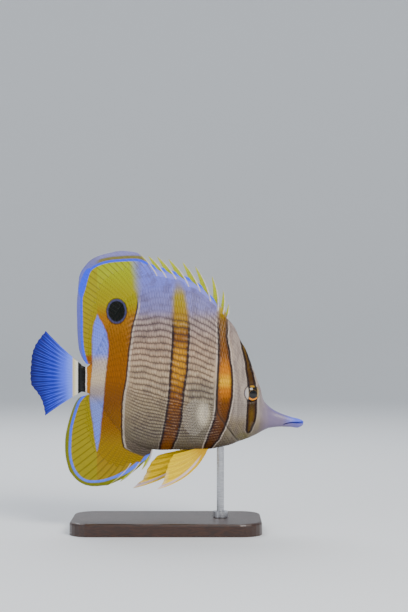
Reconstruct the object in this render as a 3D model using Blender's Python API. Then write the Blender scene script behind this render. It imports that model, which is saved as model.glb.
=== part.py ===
"""A copperband butterflyfish, life size, swimming above a plain display stand.

Metres, +Z up. The fish faces +X and its flanks face +Y and -Y. The origin is on the floor, below the
middle of the fish. Sizes that start with a capital letter are in metres; tables are in millimetres and
are turned into metres where they are read.
"""

from math import cos, pi, radians, sin

import bmesh
import bpy
import numpy as np
from mathutils import Matrix, Vector
from mathutils.bvhtree import BVHTree

MM = 0.001
GAP = 0.3 * MM

# Outline of the body without its fins, seen from the side: x, then height, from tail stalk to snout.
BACK = (
    (-47.3, 91.0), (-45.4, 90.2), (-43.7, 90.0), (-42.1, 91.3), (-40.4, 94.1), (-36.6, 102.9),
    (-32.2, 112.8), (-26.7, 121.6), (-20.1, 128.7), (-11.8, 133.1), (-3.6, 134.8), (4.7, 134.2),
    (12.9, 131.5), (21.2, 126.5), (28.3, 119.9), (32.7, 117.0), (34.9, 115.0), (38.2, 110.3),
    (40.7, 104.5), (43.7, 99.3), (45.9, 93.5), (48.7, 85.8), (50.3, 81.4), (51.7, 77.8),
    (52.5, 74.2), (53.4, 71.5), (54.5, 69.9), (55.8, 68.5), (57.5, 67.1), (59.7, 65.7),
    (62.4, 64.4), (67.9, 62.4), (73.4, 60.9), (75.1, 60.2),
)
BELLY = (
    (-47.3, 76.0), (-44.3, 75.6), (-42.4, 74.8), (-40.4, 73.2), (-36.6, 68.8), (-31.1, 61.1),
    (-25.6, 54.5), (-20.1, 49.5), (-14.6, 46.2), (-9.1, 44.6), (-4.7, 44.0), (4.7, 44.2),
    (15.7, 44.3), (23.9, 44.6), (29.4, 45.7), (34.9, 46.8), (40.4, 49.0), (45.9, 50.9),
    (49.8, 52.8), (53.1, 54.7), (55.3, 55.8), (58.0, 56.4), (62.4, 56.8), (67.9, 56.7),
    (73.4, 56.7), (75.1, 57.8),
)
# Half width of the body, and the height at which it is widest.
HALF_WIDTH = (
    (-47.3, 2.2), (-40.0, 3.1), (-33.0, 4.1), (-25.0, 5.4), (-16.0, 6.9), (-6.0, 8.5), (4.0, 9.7),
    (14.0, 10.4), (24.0, 10.7), (30.0, 10.4), (36.0, 9.6), (42.0, 8.4), (47.0, 7.1), (51.0, 5.9),
    (54.0, 4.5), (57.0, 3.5), (61.0, 2.7), (66.0, 2.15), (70.0, 1.9), (72.8, 2.05), (74.4, 1.75),
    (75.1, 1.2),
)
WIDEST_AT = (
    (-47.3, 83.3), (-31.1, 81.4), (-9.1, 75.9), (10.2, 71.0), (29.4, 69.3), (40.4, 69.9),
    (45.9, 69.3), (49.8, 66.6), (53.6, 63.3), (58.0, 61.1), (65.2, 59.6), (75.1, 59.0),
)
# How sharply the section closes above and below: 1 is an ellipse, 2 comes to a keel.
BACK_KEEL = (
    (-47.3, 1.0), (-36.0, 1.5), (0.0, 1.7), (34.0, 1.5), (42.0, 1.1), (50.0, 0.8), (60.0, 1.0),
    (75.1, 1.0),
)
BELLY_KEEL = (
    (-47.3, 1.0), (-36.0, 1.5), (-8.0, 1.5), (12.0, 1.0), (36.0, 1.1), (50.0, 1.2), (60.0, 1.0),
    (75.1, 1.0),
)
# Half the width of the narrow flat on which the fins stand, above and below.
RIDGE_FLAT = ((-47.3, 0.8), (33.0, 0.8), (44.0, 0.35), (75.1, 0.3))

BODY_STATIONS = 50
BODY_POINTS_A_SIDE = 10

# The thin cuts that part the body: x, then height, along each cut.
NAPE_CUT = (
    (36.6, 119.4), (33.3, 111.1), (30.5, 103.4), (28.9, 97.9),
)
GILL_COVER_REAR = (
    (28.9, 97.9), (28.1, 86.9), (27.5, 77.0), (27.5, 68.8), (28.9, 63.8), (31.6, 60.0),
    (34.9, 55.3), (38.2, 50.9), (42.1, 45.7),
)
GILL_COVER_TOP = (
    (28.9, 97.9), (32.7, 96.3), (36.0, 91.9), (37.7, 85.8),
)
GILL_COVER_FRONT = (
    (37.7, 85.8), (38.8, 78.1), (39.1, 71.5), (38.8, 66.0), (39.3, 60.5), (41.0, 55.0),
    (43.7, 50.6), (46.5, 46.2),
)
STALK_CUT = (
    (-40.7, 99.0), (-41.0, 83.6), (-40.7, 68.2),
)
SNOUT_CUT = (
    (57.8, 71.0), (56.9, 63.3), (57.8, 52.8),
)
MOUTH_CUT = (
    (76.7, 59.4), (72.3, 59.2), (67.4, 59.0), (64.9, 58.0), (63.0, 55.0),
)
MOUTH_OPEN = 0.9 * MM
MOUTH_CORNER_X = 66.0 * MM
GILL_COVER_LIFT = 0.45 * MM

EYE_X, EYE_Z = 46.6 * MM, 75.5 * MM
EYE_RADIUS = 4.7 * MM
EYE_DEPTH = 2.6 * MM
EYE_CENTRE_Y = 5.3 * MM
EYE_TURN = 20
EYE_RIM = 0.7 * MM
NOSTRILS = ((51.6, 70.2), (52.9, 68.3))
NOSTRIL_RADIUS = 0.45 * MM

# Dorsal spines from the front: x of the root, then the tip, and the share of the spine that the web in
# front of it reaches.
DORSAL_SPINES = (
    (33.0, 34.1, 124.6, 0.12), (30.7, 31.1, 132.0, 0.28), (28.1, 24.8, 140.0, 0.24),
    (24.5, 15.4, 145.5, 0.32), (19.5, 8.5, 147.7, 0.43), (13.5, 0.8, 149.3, 0.47),
    (7.4, -5.5, 150.7, 0.52), (1.9, -10.5, 151.2, 0.58), (-3.0, -15.1, 152.1, 0.68),
)
ANAL_SPINES = ((-8.0, -13.8, 33.0, 0.25), (-11.0, -25.9, 26.4, 0.72), (-14.9, -32.2, 24.6, 0.97))
SPINE_BOW = 0.075
ANAL_SPINE_BOW = 0.10
SPINE_HALF = 0.55 * MM
FLAG_WIDTH = 2.9 * MM

# Outer edges of the soft fins, from the last spine round to the tail stalk.
DORSAL_EDGE = (
    (-16.5, 152.6), (-20.1, 153.2), (-25.6, 153.5), (-31.1, 152.4), (-36.6, 151.0), (-39.3, 149.9),
    (-42.1, 148.2), (-44.3, 145.8), (-46.5, 143.0), (-47.9, 139.7), (-48.4, 135.9), (-48.7, 132.0),
    (-49.2, 126.5), (-49.2, 115.5), (-48.7, 104.5), (-47.9, 98.5), (-45.9, 93.8), (-44.0, 91.3),
)
ANAL_EDGE = (
    (-33.8, 24.5), (-36.6, 24.2), (-42.1, 24.2), (-45.9, 25.3), (-48.7, 27.0), (-51.4, 29.7),
    (-53.6, 33.0), (-54.7, 36.9), (-55.6, 41.2), (-55.8, 46.8), (-55.6, 51.2), (-54.7, 56.1),
    (-53.6, 60.5), (-52.0, 65.5), (-50.6, 69.0), (-48.7, 72.1), (-46.5, 73.7), (-44.6, 74.0),
)
TAIL_EDGE = (
    (-66.8, 109.5), (-69.0, 106.7), (-71.8, 102.9), (-74.0, 97.4), (-74.8, 90.8), (-75.1, 84.2),
    (-74.5, 79.8), (-71.8, 76.2), (-69.0, 71.5), (-67.7, 67.1), (-67.1, 62.7),
)
DORSAL_RAYS = 29
ANAL_RAYS = 20
TAIL_RAYS = 17
PECTORAL_RAYS = 14
PELVIC_BOW = (3.3 * MM, 0, -3.0 * MM)
FIN_ROOT_HALF = 0.8 * MM
FIN_EDGE_HALF = 0.26 * MM
RAY_RIDGE = 0.24 * MM

STAND_LENGTH, STAND_WIDTH, STAND_HEIGHT = 104 * MM, 58 * MM, 7 * MM
STAND_CORNER = 12 * MM
ROD_X = 29.6 * MM
ROD_RADIUS = 2.0 * MM
COLLAR_RADIUS, COLLAR_HEIGHT = 4.2 * MM, 3.2 * MM


def clear_scene():
    for thing in list(bpy.data.objects):
        bpy.data.objects.remove(thing)


def smooth(knots, values):
    """A smooth function through the values at the rising knots."""
    knots = np.array(knots, float)
    values = np.array(values, float)
    step = np.diff(knots)
    share = step if values.ndim == 1 else step[:, None]
    rise = np.diff(values, axis=0) / share
    slope = np.concatenate([rise[:1], rise[:1], rise[1:]])[: len(values)]
    slope[-1] = rise[-1]
    slope[1:-1] = (rise[:-1] * share[1:] + rise[1:] * share[:-1]) / (share[:-1] + share[1:])

    def at(x):
        x = min(max(x, knots[0]), knots[-1])
        i = min(int(np.searchsorted(knots, x, "right")) - 1, len(step) - 1)
        t = (x - knots[i]) / step[i]
        lead = (2 * t**3 - 3 * t**2 + 1) * values[i] + (3 * t**2 - 2 * t**3) * values[i + 1]
        bend = (t**3 - 2 * t**2 + t) * slope[i] + (t**3 - t**2) * slope[i + 1]
        return lead + bend * step[i]

    return at


def table(rows):
    """A smooth function of x from a table in millimetres, in metres. Keels and shares stay as they are."""
    rows = np.array(rows)
    return smooth(rows[:, 0] * MM, rows[:, 1] * MM)


def line(points):
    """A smooth line through points, as a function of the share of its length. Points are in metres."""
    points = np.array(points, float)
    along = np.concatenate([[0], np.cumsum(np.linalg.norm(np.diff(points, axis=0), axis=1))])
    return smooth(along / along[-1], points)


back_z = table(BACK)
belly_z = table(BELLY)
half_width = table(HALF_WIDTH)
widest_z = table(WIDEST_AT)
ridge_flat = table(RIDGE_FLAT)
back_keel = smooth(*np.array(BACK_KEEL).T * [[MM], [1]])
belly_keel = smooth(*np.array(BELLY_KEEL).T * [[MM], [1]])


def section_half(x, z):
    """Half the thickness of the body at a point of its side view."""
    middle = widest_z(x)
    up = z > middle
    reach = back_z(x) - middle if up else middle - belly_z(x)
    share = min(abs(z - middle) / reach, 1)
    keel = back_keel(x) if up else belly_keel(x)
    flat = min(ridge_flat(x), half_width(x) * 0.6)
    return flat + (half_width(x) - flat) * (1 - share**2) ** (keel / 2)


def section_ring(x):
    """The points of one cross-section, up the +Y side and down the -Y side."""
    side = []
    for i in range(BODY_POINTS_A_SIDE + 1):
        turn = sin(pi * (i / BODY_POINTS_A_SIDE - 0.5))
        end = back_z(x) if turn > 0 else belly_z(x)
        z = widest_z(x) + abs(turn) * (end - widest_z(x))
        side.append((section_half(x, z), z))
    ring = [(x, y, z) for y, z in side]
    return ring + [(x, -y, z) for y, z in reversed(side)]


def object_of(name, bm):
    """A named object made from a bmesh, with its faces pointing outwards."""
    bmesh.ops.recalc_face_normals(bm, faces=bm.faces)
    mesh = bpy.data.meshes.new(name)
    bm.to_mesh(mesh)
    bm.free()
    thing = bpy.data.objects.new(name, mesh)
    bpy.context.scene.collection.objects.link(thing)
    return thing


def lofted(name, rings):
    """A closed shape bridged from ring to ring, with flat ends."""
    bm = bmesh.new()
    loops = []
    for ring in rings:
        made = bmesh.ops.create_circle(bm, cap_ends=False, segments=len(ring), radius=1)
        for vertex, place in zip(made["verts"], ring):
            vertex.co = place
        loops.append({edge for vertex in made["verts"] for edge in vertex.link_edges})
    for first, second in zip(loops, loops[1:]):
        bmesh.ops.bridge_loops(bm, edges=list(first | second))
    for end in (loops[0], loops[-1]):
        bmesh.ops.contextual_create(bm, geom=list(end))
    bmesh.ops.triangulate(bm, faces=bm.faces)
    return object_of(name, bm)


def sheet(name, columns, rows, place):
    """A thin closed sheet. place(u, v) gives a point of its middle and the step from there to one face.
    Both faces are split into triangles alike, so that they can't cross."""
    bm = bmesh.new()
    bmesh.ops.create_grid(bm, x_segments=columns, y_segments=rows, size=0.5)
    bmesh.ops.triangulate(bm, faces=bm.faces)
    front = list(bm.verts)
    made = bmesh.ops.extrude_face_region(bm, geom=list(bm.faces), use_keep_orig=True)
    back = [part for part in made["geom"] if isinstance(part, bmesh.types.BMVert)]
    for side, vertices in ((1, front), (-1, back)):
        for vertex in vertices:
            middle, half = place(vertex.co.x + 0.5, vertex.co.y + 0.5)
            vertex.co = Vector(middle) + side * Vector(half)
    return object_of(name, bm)


def boolean(thing, operation, other, solver="EXACT"):
    """Cuts from, or joins to, a thing another mesh, which is then removed."""
    change = thing.modifiers.new(operation.title(), "BOOLEAN")
    change.operation = operation
    change.object = other
    change.solver = solver
    apply_modifiers(thing)
    bpy.data.objects.remove(other)


def apply_modifiers(thing):
    bpy.context.view_layer.update()
    graph = bpy.context.evaluated_depsgraph_get()
    mesh = bpy.data.meshes.new_from_object(thing.evaluated_get(graph))
    thing.modifiers.clear()
    thing.data = mesh


def united(name, pieces):
    """One closed body from a root piece and the pieces that stand in it, by one union."""
    group = bpy.data.collections.new(name + "_pieces")
    bpy.context.scene.collection.children.link(group)
    root = pieces[0]
    for piece in pieces[1:]:
        bpy.context.scene.collection.objects.unlink(piece)
        group.objects.link(piece)
    union = root.modifiers.new("Union", "BOOLEAN")
    union.operation = "UNION"
    union.operand_type = "COLLECTION"
    union.collection = group
    union.solver = "EXACT"
    apply_modifiers(root)
    for piece in pieces[1:]:
        bpy.data.objects.remove(piece)
    bpy.data.collections.remove(group)
    keep_largest(root)
    root.name = name
    root.data.name = name
    return root


def islands(bm):
    """The separate closed surfaces of a bmesh, each as a set of vertices."""
    left = set(bm.verts)
    found = []
    while left:
        island, edge = set(), [left.pop()]
        while edge:
            vertex = edge.pop()
            island.add(vertex)
            for link in vertex.link_edges:
                other = link.other_vert(vertex)
                if other in left:
                    left.discard(other)
                    edge.append(other)
        found.append(island)
    return found


def keep_largest(thing):
    """Drops every closed surface of a mesh but the largest."""
    bm = bmesh.new()
    bm.from_mesh(thing.data)
    parts = sorted(islands(bm), key=len)
    for part in parts[:-1]:
        bmesh.ops.delete(bm, geom=list(part), context="VERTS")
    bm.to_mesh(thing.data)
    bm.free()


def wall(points, open_at=None):
    """A thin upright cutter along a line of the side view, through the whole width of the body."""
    route = line(np.array(points) * MM)
    steps = 3 * (len(points) - 1)
    reach = 16 * MM

    def place(u, v):
        here = route(u)
        ahead = route(min(u + 0.002, 1)) - route(max(u - 0.002, 0))
        ahead /= np.linalg.norm(ahead)
        half = GAP / 2 if open_at is None else open_at(here[0])
        return (here[0], (2 * v - 1) * reach, here[1]), (-ahead[1] * half, 0, ahead[0] * half)

    return sheet("cut", steps, 1, place)


def mouth_gap(x):
    """Half the gap between the jaws, which opens from the mouth's corner to the tip."""
    opening = max(0, (x - MOUTH_CORNER_X) / (BACK[-1][0] * MM - MOUTH_CORNER_X))
    return GAP / 2 + (MOUTH_OPEN - GAP) / 2 * opening


def middle_wall(outline):
    """The thin cut in the fish's middle plane, between the left and right gill covers."""
    bm = bmesh.new()
    corners = [bm.verts.new((x * MM, -GAP / 2, z * MM)) for x, z in outline]
    face = bm.faces.new(corners)
    made = bmesh.ops.extrude_face_region(bm, geom=[face])
    moved = [part for part in made["geom"] if isinstance(part, bmesh.types.BMVert)]
    bmesh.ops.translate(bm, verts=moved, vec=(0, GAP, 0))
    bmesh.ops.triangulate(bm, faces=bm.faces)
    return object_of("cut", bm)


def eye_shape(name, side, grow, around, along):
    """An eyeball, flattened along its own axis, which is turned a little to the front."""
    radii = [radius + grow for radius in (EYE_RADIUS, EYE_DEPTH, EYE_RADIUS)]
    bm = bmesh.new()
    bmesh.ops.create_uvsphere(bm, u_segments=around, v_segments=along, radius=1)
    bmesh.ops.rotate(bm, verts=bm.verts, matrix=Matrix.Rotation(pi / 2, 3, "X"))
    bmesh.ops.scale(bm, verts=bm.verts, vec=radii)
    bmesh.ops.rotate(bm, verts=bm.verts, matrix=Matrix.Rotation(-side * radians(EYE_TURN), 3, "Z"))
    bmesh.ops.translate(bm, verts=bm.verts, vec=(EYE_X, side * EYE_CENTRE_Y, EYE_Z))
    return object_of(name, bm)


def eye_rim(side):
    """The soft raised rim round an eye, a ring that follows the head's surface."""
    bm = bmesh.new()
    steps, sides = 20, 6
    ring_radius = EYE_RADIUS + GAP + 0.15 * MM
    rings = []
    for i in range(steps):
        turn = 2 * pi * i / steps
        x, z = EYE_X + ring_radius * cos(turn) * cos(radians(EYE_TURN)), EYE_Z + ring_radius * sin(turn)
        level = EYE_CENTRE_Y - ring_radius * cos(turn) * sin(radians(EYE_TURN))
        centre = Vector((x, side * max(section_half(x, z) - 0.15 * MM, level), z))
        outward = Vector((cos(turn), 0, sin(turn)))
        ring = []
        for k in range(sides):
            lean = 2 * pi * k / sides
            offset = outward * cos(lean) + Vector((0, side * sin(lean), 0))
            ring.append(bm.verts.new(centre + offset * EYE_RIM))
        rings.append(ring)
    for i in range(steps):
        for k in range(sides):
            first, second = rings[i], rings[(i + 1) % steps]
            n = (k + 1) % sides
            bm.faces.new((first[k], first[n], second[n], second[k]))
    bmesh.ops.triangulate(bm, faces=bm.faces)
    return object_of("rim", bm)


def nostril(side, x, z):
    """A short cutter for one nostril, set square to the snout's side."""
    bm = bmesh.new()
    y = side * section_half(x, z)
    bmesh.ops.create_cone(
        bm, cap_ends=True, segments=10, radius1=NOSTRIL_RADIUS, radius2=NOSTRIL_RADIUS, depth=1.8 * MM
    )
    bmesh.ops.rotate(bm, verts=bm.verts, matrix=Matrix.Rotation(pi / 2, 3, "X"))
    bmesh.ops.translate(bm, verts=bm.verts, vec=(x, y, z))
    bmesh.ops.triangulate(bm, faces=bm.faces)
    return object_of("cut", bm)


def make_body():
    """The body whole, then parted by thin cuts into its named pieces."""
    ends = np.array([BACK[0][0], BACK[-1][0]]) * MM
    # Stations lie closer together towards both ends, where the outline turns most.
    shares = np.linspace(0, 1, BODY_STATIONS)
    stations = ends[0] + (ends[1] - ends[0]) * (shares - 0.07 * np.sin(2 * pi * shares))
    body = lofted("body", [section_ring(x) for x in stations])
    for side in (1, -1):
        boolean(body, "UNION", eye_rim(side))
    for side in (1, -1):
        boolean(body, "DIFFERENCE", eye_shape("cut", side, GAP, 22, 12))
        for x, z in NOSTRILS:
            boolean(body, "DIFFERENCE", nostril(side, x * MM, z * MM))
    for cut in (
        wall(NAPE_CUT), wall(GILL_COVER_REAR), wall(GILL_COVER_TOP), wall(GILL_COVER_FRONT),
        wall(STALK_CUT), wall(SNOUT_CUT), wall(MOUTH_CUT, mouth_gap),
        middle_wall(gill_cover_outline()),
    ):
        boolean(body, "DIFFERENCE", cut)
    return body


def gill_cover_outline():
    """The gill cover's outline in the side view, out into the middle of the cuts round it."""
    rear, top, front = (
        [line(points)(share) for share in np.linspace(0, 1, 3 * (len(points) - 1) + 1)]
        for points in (GILL_COVER_REAR, GILL_COVER_TOP, GILL_COVER_FRONT)
    )
    return rear + front[::-1] + top[-2:0:-1]


def part_body(body):
    """Gives each piece of the cut body its own object, by a point inside it."""
    seeds = {
        "torso": (0, 0, 85), "head": (44, 0, 83), "tail_stalk": (-44, 0, 83), "snout": (62, 0, 61),
        "lower_jaw": (70, 0, 57.6), "gill_cover_left": (33, 5, 75), "gill_cover_right": (33, -5, 75),
    }
    bm = bmesh.new()
    bm.from_mesh(body.data)
    made = {}
    parts = [part for part in islands(bm) if len(part) > 20]
    for part in parts:
        piece = bm.copy()
        piece.verts.ensure_lookup_table()
        keep = {vertex.index for vertex in part}
        bmesh.ops.delete(piece, geom=[v for v in piece.verts if v.index not in keep], context="VERTS")
        centre = sum((v.co for v in piece.verts), Vector()) / len(piece.verts)
        name = min(seeds, key=lambda key: (Vector(seeds[key]) * MM - centre).length)
        made[name] = object_of(name, piece)
        seeds.pop(name)
    bm.free()
    bpy.data.objects.remove(body)
    return made


def lift_gill_cover(cover):
    """Lifts a gill cover's skin towards its rear edge, so that the edge stands proud of the flank."""
    front, rear = 39 * MM, 28 * MM
    for vertex in cover.data.vertices:
        share = min(max((front - vertex.co.x) / (front - rear), 0), 1)
        half = section_half(vertex.co.x, vertex.co.z)
        vertex.co.y *= 1 + GILL_COVER_LIFT / half * share * min(1, half / (6 * MM))


def contour(edge, x, outward):
    """A point just clear of the body's outline at x, and the outline's way out there."""
    ahead = Vector((0.4 * MM, edge(x + 0.2 * MM) - edge(x - 0.2 * MM))).normalized()
    out = Vector((-ahead.y, ahead.x)) * outward
    return Vector((x, edge(x))) + out * (GAP + 0.1 * MM), out


class MedianFin:
    """The rays of a fin on the fish's middle plane. Ray numbers may be fractions: the spines come first,
    then the soft rays. Each ray runs from the outline of the body to its tip, with a slight bow."""

    def __init__(self, edge, outward, spines, spine_bow, soft_from, soft_to, soft_edge, rays, spread):
        xs, tips, bows, shares = [], [], [], []
        for x, tip_x, tip_z, share in spines:
            xs.append(x * MM)
            tips.append(Vector((tip_x, tip_z)) * MM)
            bows.append(spine_bow)
            shares.append(share)
        rim = line(np.array(soft_edge) * MM)
        base = self.base_line(edge, soft_from * MM, soft_to * MM)
        for i in range(rays):
            along = i / (rays - 1)
            xs.append(base(along)[0])
            tips.append(Vector(rim(along**spread)))
            bows.append(spine_bow * max(0, 1 - 2.2 * along))
            shares.append(1)
        numbers = range(len(xs))
        self.edge, self.outward = edge, outward
        self.spines, self.last = len(spines), len(xs) - 1
        self.root_x = smooth(numbers, xs)
        self.tip = smooth(numbers, [tuple(tip) for tip in tips])
        self.bow = smooth(numbers, bows)
        self.share = smooth(numbers, shares)

    @staticmethod
    def base_line(edge, start, end):
        """The body's outline from start to end, by the share of its length."""
        steps = np.linspace(start, end, 60)
        return line([(x, edge(x)) for x in steps])

    def point(self, number, share):
        root, _ = contour(self.edge, self.root_x(number), self.outward)
        tip = Vector(self.tip(number))
        chord = tip - root
        across = Vector((chord.y, -chord.x)) * self.outward
        return root + chord * share + across * self.bow(number) * 4 * share * (1 - share)


def web(name, fin, first, last, per_ray, rows, soft_from, lead=0):
    """The membrane of a median fin from one ray to another, with its soft rays as low ridges.
    A lead carries its front edge forward by that share of a ray's space."""
    columns = round((last - first) * per_ray)

    def place(u, v):
        number = first + (last - first) * u - (lead if u == 0 else 0)
        reach = fin.share(number) if number < soft_from and not lead else 1
        spot = fin.point(number, v * reach)
        half = FIN_EDGE_HALF + (FIN_ROOT_HALF - FIN_EDGE_HALF) * (1 - v) ** 2
        on_ray = abs(number - round(number)) < 0.01 and number >= soft_from
        if on_ray and v > 0:
            half += RAY_RIDGE * (1 - 0.8 * v)
        return (spot.x, 0, spot.y), (0, half, 0)

    return sheet(name, columns, rows, place)


def tooth(fin, number, root_share, flag):
    """One spine with the flag of membrane behind it, from inside the web out to its tip."""
    columns, rows = 3, 6
    backward = -1

    def place(u, v):
        share = root_share + (1 - root_share) * v
        spot = fin.point(number, share)
        ahead = (fin.point(number, min(share + 0.01, 1)) - fin.point(number, share - 0.01)).normalized()
        behind = Vector((ahead.y, -ahead.x)) * fin.outward * backward
        width = 2 * SPINE_HALF * (1 - 0.6 * v) + flag * (1 - v) ** 0.8 * min(1, 2.5 * v + 0.15)
        spot = spot + behind * (u * width - SPINE_HALF * 0.5)
        front = SPINE_HALF * (1 - 0.62 * v)
        half = front if u < 0.5 else FIN_EDGE_HALF * 0.85
        if u == 0:
            half = front * 0.5
        return (spot.x, 0, spot.y), (0, half, 0)

    return sheet("tooth", columns, rows, place)


def make_dorsal_fins():
    fin = MedianFin(
        back_z, 1, DORSAL_SPINES, SPINE_BOW, -5.0, -41.4, DORSAL_EDGE, DORSAL_RAYS, spread=0.92
    )
    last_spine = fin.spines - 1
    spiny = web("web", fin, 0, last_spine, 4, 5, soft_from=fin.spines)
    flags = [FLAG_WIDTH * 0.5] * 2 + [FLAG_WIDTH] * (last_spine - 2) + [0.4 * MM]
    teeth = [tooth(fin, i, fin.share(i) * 0.35, flags[i]) for i in range(fin.spines)]
    spiny = united("dorsal_fin_spiny", [spiny] + teeth)
    soft = web("dorsal_fin_soft", fin, fin.spines, fin.last, 2, 7, soft_from=fin.spines, lead=0.35)
    return spiny, soft


def make_anal_fin():
    fin = MedianFin(
        belly_z, -1, ANAL_SPINES, ANAL_SPINE_BOW, -17.8, -41.4, ANAL_EDGE, ANAL_RAYS, spread=0.95
    )
    skin = web("web", fin, 0, fin.last, 2, 7, soft_from=fin.spines)
    teeth = [tooth(fin, i, fin.share(i) * 0.35, FLAG_WIDTH * 0.7) for i in range(fin.spines)]
    return united("anal_fin", [skin] + teeth)


def make_tail_fin():
    """The tail fin, a fan of rays from the end of the stalk, with a gentle sideways sweep."""
    rim = line(np.array(TAIL_EDGE) * MM)
    end_x = BACK[0][0] * MM - GAP
    high, low = BACK[0][1] * MM, BELLY[0][1] * MM
    sweep = 3.2 * MM
    rows, columns = 8, 2 * (TAIL_RAYS - 1)

    def place(u, v):
        root = Vector((end_x, high + (low - high) * u))
        tip = Vector(rim(u))
        chord = tip - root
        flare = (0.5 - u) * 0.12
        spot = root + chord * v + Vector((-chord.y, chord.x)) * flare * v * (1 - v)
        side = sweep * v**2 * (0.4 + 0.6 * (2 * u - 1) ** 2)
        half = FIN_EDGE_HALF + (1.5 * MM - FIN_EDGE_HALF) * (1 - v) ** 3
        if round(u * columns) % 2 == 0 and v > 0:
            half += RAY_RIDGE * (1 - 0.8 * v)
        return (spot.x, side, spot.y), (0, half, 0)

    return sheet("tail_fin", columns, rows, place)


def fan(name, roots, tips, foot_step, rows, columns, root_half, rays, bulge, front_bow=(0, 0, 0)):
    """A paired fin: a fan from a short root on the body's skin out to its edge.
    roots(u) is the middle of the root, on the skin, and tips(u) the edge of the fin."""

    def place(u, v):
        root, tip = Vector(roots(u)), Vector(tips(u))
        spot = root + (tip - root) * v + (Vector(bulge) + Vector(front_bow) * (1 - u)) * 4 * v * (1 - v)
        along = (Vector(tips(min(u + 0.02, 1))) - Vector(tips(max(u - 0.02, 0)))) + (
            Vector(roots(min(u + 0.02, 1))) - Vector(roots(max(u - 0.02, 0)))
        )
        normal = (tip - root).cross(along).normalized()
        if normal.dot(Vector(foot_step)) < 0:
            normal.negate()
        normal = normal.lerp(Vector(foot_step).normalized(), max(0, 1 - 6 * v)).normalized()
        half = FIN_EDGE_HALF + (root_half - FIN_EDGE_HALF) * (1 - v) ** 2
        if round(u * columns) % 2 == 0 and 0 < v:
            half += rays * (1 - 0.85 * v)
        return spot, normal * half

    return sheet(name, columns, rows, place)


def make_pectoral_fin(side):
    """A pectoral fin, held out from the flank behind the gill cover."""
    name = "pectoral_fin_left" if side > 0 else "pectoral_fin_right"
    top, bottom = Vector((22.8, 70.0)) * MM, Vector((22.3, 62.8)) * MM
    edge = line(np.array([
        (16.2, 73.0, 13.0), (11.8, 70.4, 14.4), (9.4, 65.5, 15.4), (9.1, 60.0, 15.8),
        (11.3, 55.2, 15.6), (15.7, 53.0, 14.6), (19.5, 55.6, 13.0),
    ]) * MM)

    def roots(u):
        spot = top.lerp(bottom, u)
        skin = section_half(spot.x, spot.y)
        return spot.x, side * (skin + GAP + 0.15 * MM), spot.y

    def tips(u):
        x, z, y = edge(u)
        return x, side * y, z

    bulge = (0, side * 0.9 * MM, 0)
    return fan(name, roots, tips, (1, 0, 0), 6, 2 * PECTORAL_RAYS, 0.5 * MM, RAY_RIDGE * 0.8, bulge)


def make_pelvic_fin(side, front, rear, edge):
    """A pelvic fin, from a short root under the belly, swept back and out."""
    name = "pelvic_fin_left" if side > 0 else "pelvic_fin_right"
    rim = line(np.array(edge) * MM)
    bow = PELVIC_BOW

    def roots(u):
        x = (front + (rear - front) * u) * MM
        y = 2.6 * MM
        return x, side * y, under_belly(x, y) - GAP - 0.1 * MM

    def tips(u):
        x, z, y = rim(u)
        return x, side * y, z

    return fan(
        name, roots, tips, (0, 1, 0), 8, 16, 0.7 * MM, RAY_RIDGE, (0, side * 0.5 * MM, 0), front_bow=bow
    )


def under_belly(x, y):
    """The height of the belly's skin at a small distance from the middle plane."""
    low, high = belly_z(x), widest_z(x)
    for _ in range(24):
        middle = (low + high) / 2
        if section_half(x, middle) < y:
            low = middle
        else:
            high = middle
    return (low + high) / 2


def make_eye(side):
    name = "eye_left" if side > 0 else "eye_right"
    return eye_shape(name, side, 0, 20, 10)


def make_stand(torso):
    """A flat base with round corners, one short rod up to the breast, and a collar at its foot."""
    bm = bmesh.new()
    bmesh.ops.create_cube(bm, size=1)
    bmesh.ops.scale(bm, verts=bm.verts, vec=(STAND_LENGTH, STAND_WIDTH, STAND_HEIGHT))
    bmesh.ops.translate(bm, verts=bm.verts, vec=(0, 0, STAND_HEIGHT / 2))
    upright = [e for e in bm.edges if abs(e.verts[0].co.z - e.verts[1].co.z) > STAND_HEIGHT / 2]
    bmesh.ops.bevel(
        bm, geom=upright, offset=STAND_CORNER, segments=6, profile=0.5, affect="EDGES", material=-1
    )
    rim = [e for e in bm.edges if min(v.co.z for v in e.verts) > STAND_HEIGHT * 0.99]
    bmesh.ops.bevel(
        bm, geom=rim, offset=1.2 * MM, segments=2, profile=0.5, affect="EDGES", material=-1
    )
    bmesh.ops.triangulate(bm, faces=bm.faces)
    base = object_of("stand_base", bm)

    foot = STAND_HEIGHT + GAP
    collar = turned("stand_collar", COLLAR_RADIUS, foot, foot + COLLAR_HEIGHT, 24)
    bore = turned("cut", ROD_RADIUS + GAP, STAND_HEIGHT - GAP, STAND_HEIGHT + 2 * COLLAR_HEIGHT, 24)
    boolean(collar, "DIFFERENCE", bore)

    rod = turned("stand_rod", ROD_RADIUS, STAND_HEIGHT + GAP, 30 * MM, 16)
    mesh = bmesh.new()
    mesh.from_mesh(torso.data)
    skin = BVHTree.FromBMesh(mesh)
    for vertex in rod.data.vertices:
        if vertex.co.z > 20 * MM:
            hit = skin.ray_cast(Vector((vertex.co.x, vertex.co.y, 0)), Vector((0, 0, 1)))[0]
            vertex.co.z = hit.z - GAP
    mesh.free()
    return base, collar, rod


def turned(name, radius, low, high, sides):
    bm = bmesh.new()
    bmesh.ops.create_cone(
        bm, cap_ends=True, cap_tris=True, segments=sides, radius1=radius, radius2=radius, depth=high - low
    )
    bmesh.ops.translate(bm, verts=bm.verts, vec=(ROD_X, 0, (low + high) / 2))
    bmesh.ops.triangulate(bm, faces=bm.faces)
    return object_of(name, bm)


def material(name, colour, roughness, metallic=0.0):
    made = bpy.data.materials.new(name)
    made.use_nodes = True
    shader = made.node_tree.nodes["Principled BSDF"]
    shader.inputs["Base Color"].default_value = (*colour, 1)
    shader.inputs["Roughness"].default_value = roughness
    shader.inputs["Metallic"].default_value = metallic
    return made


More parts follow.
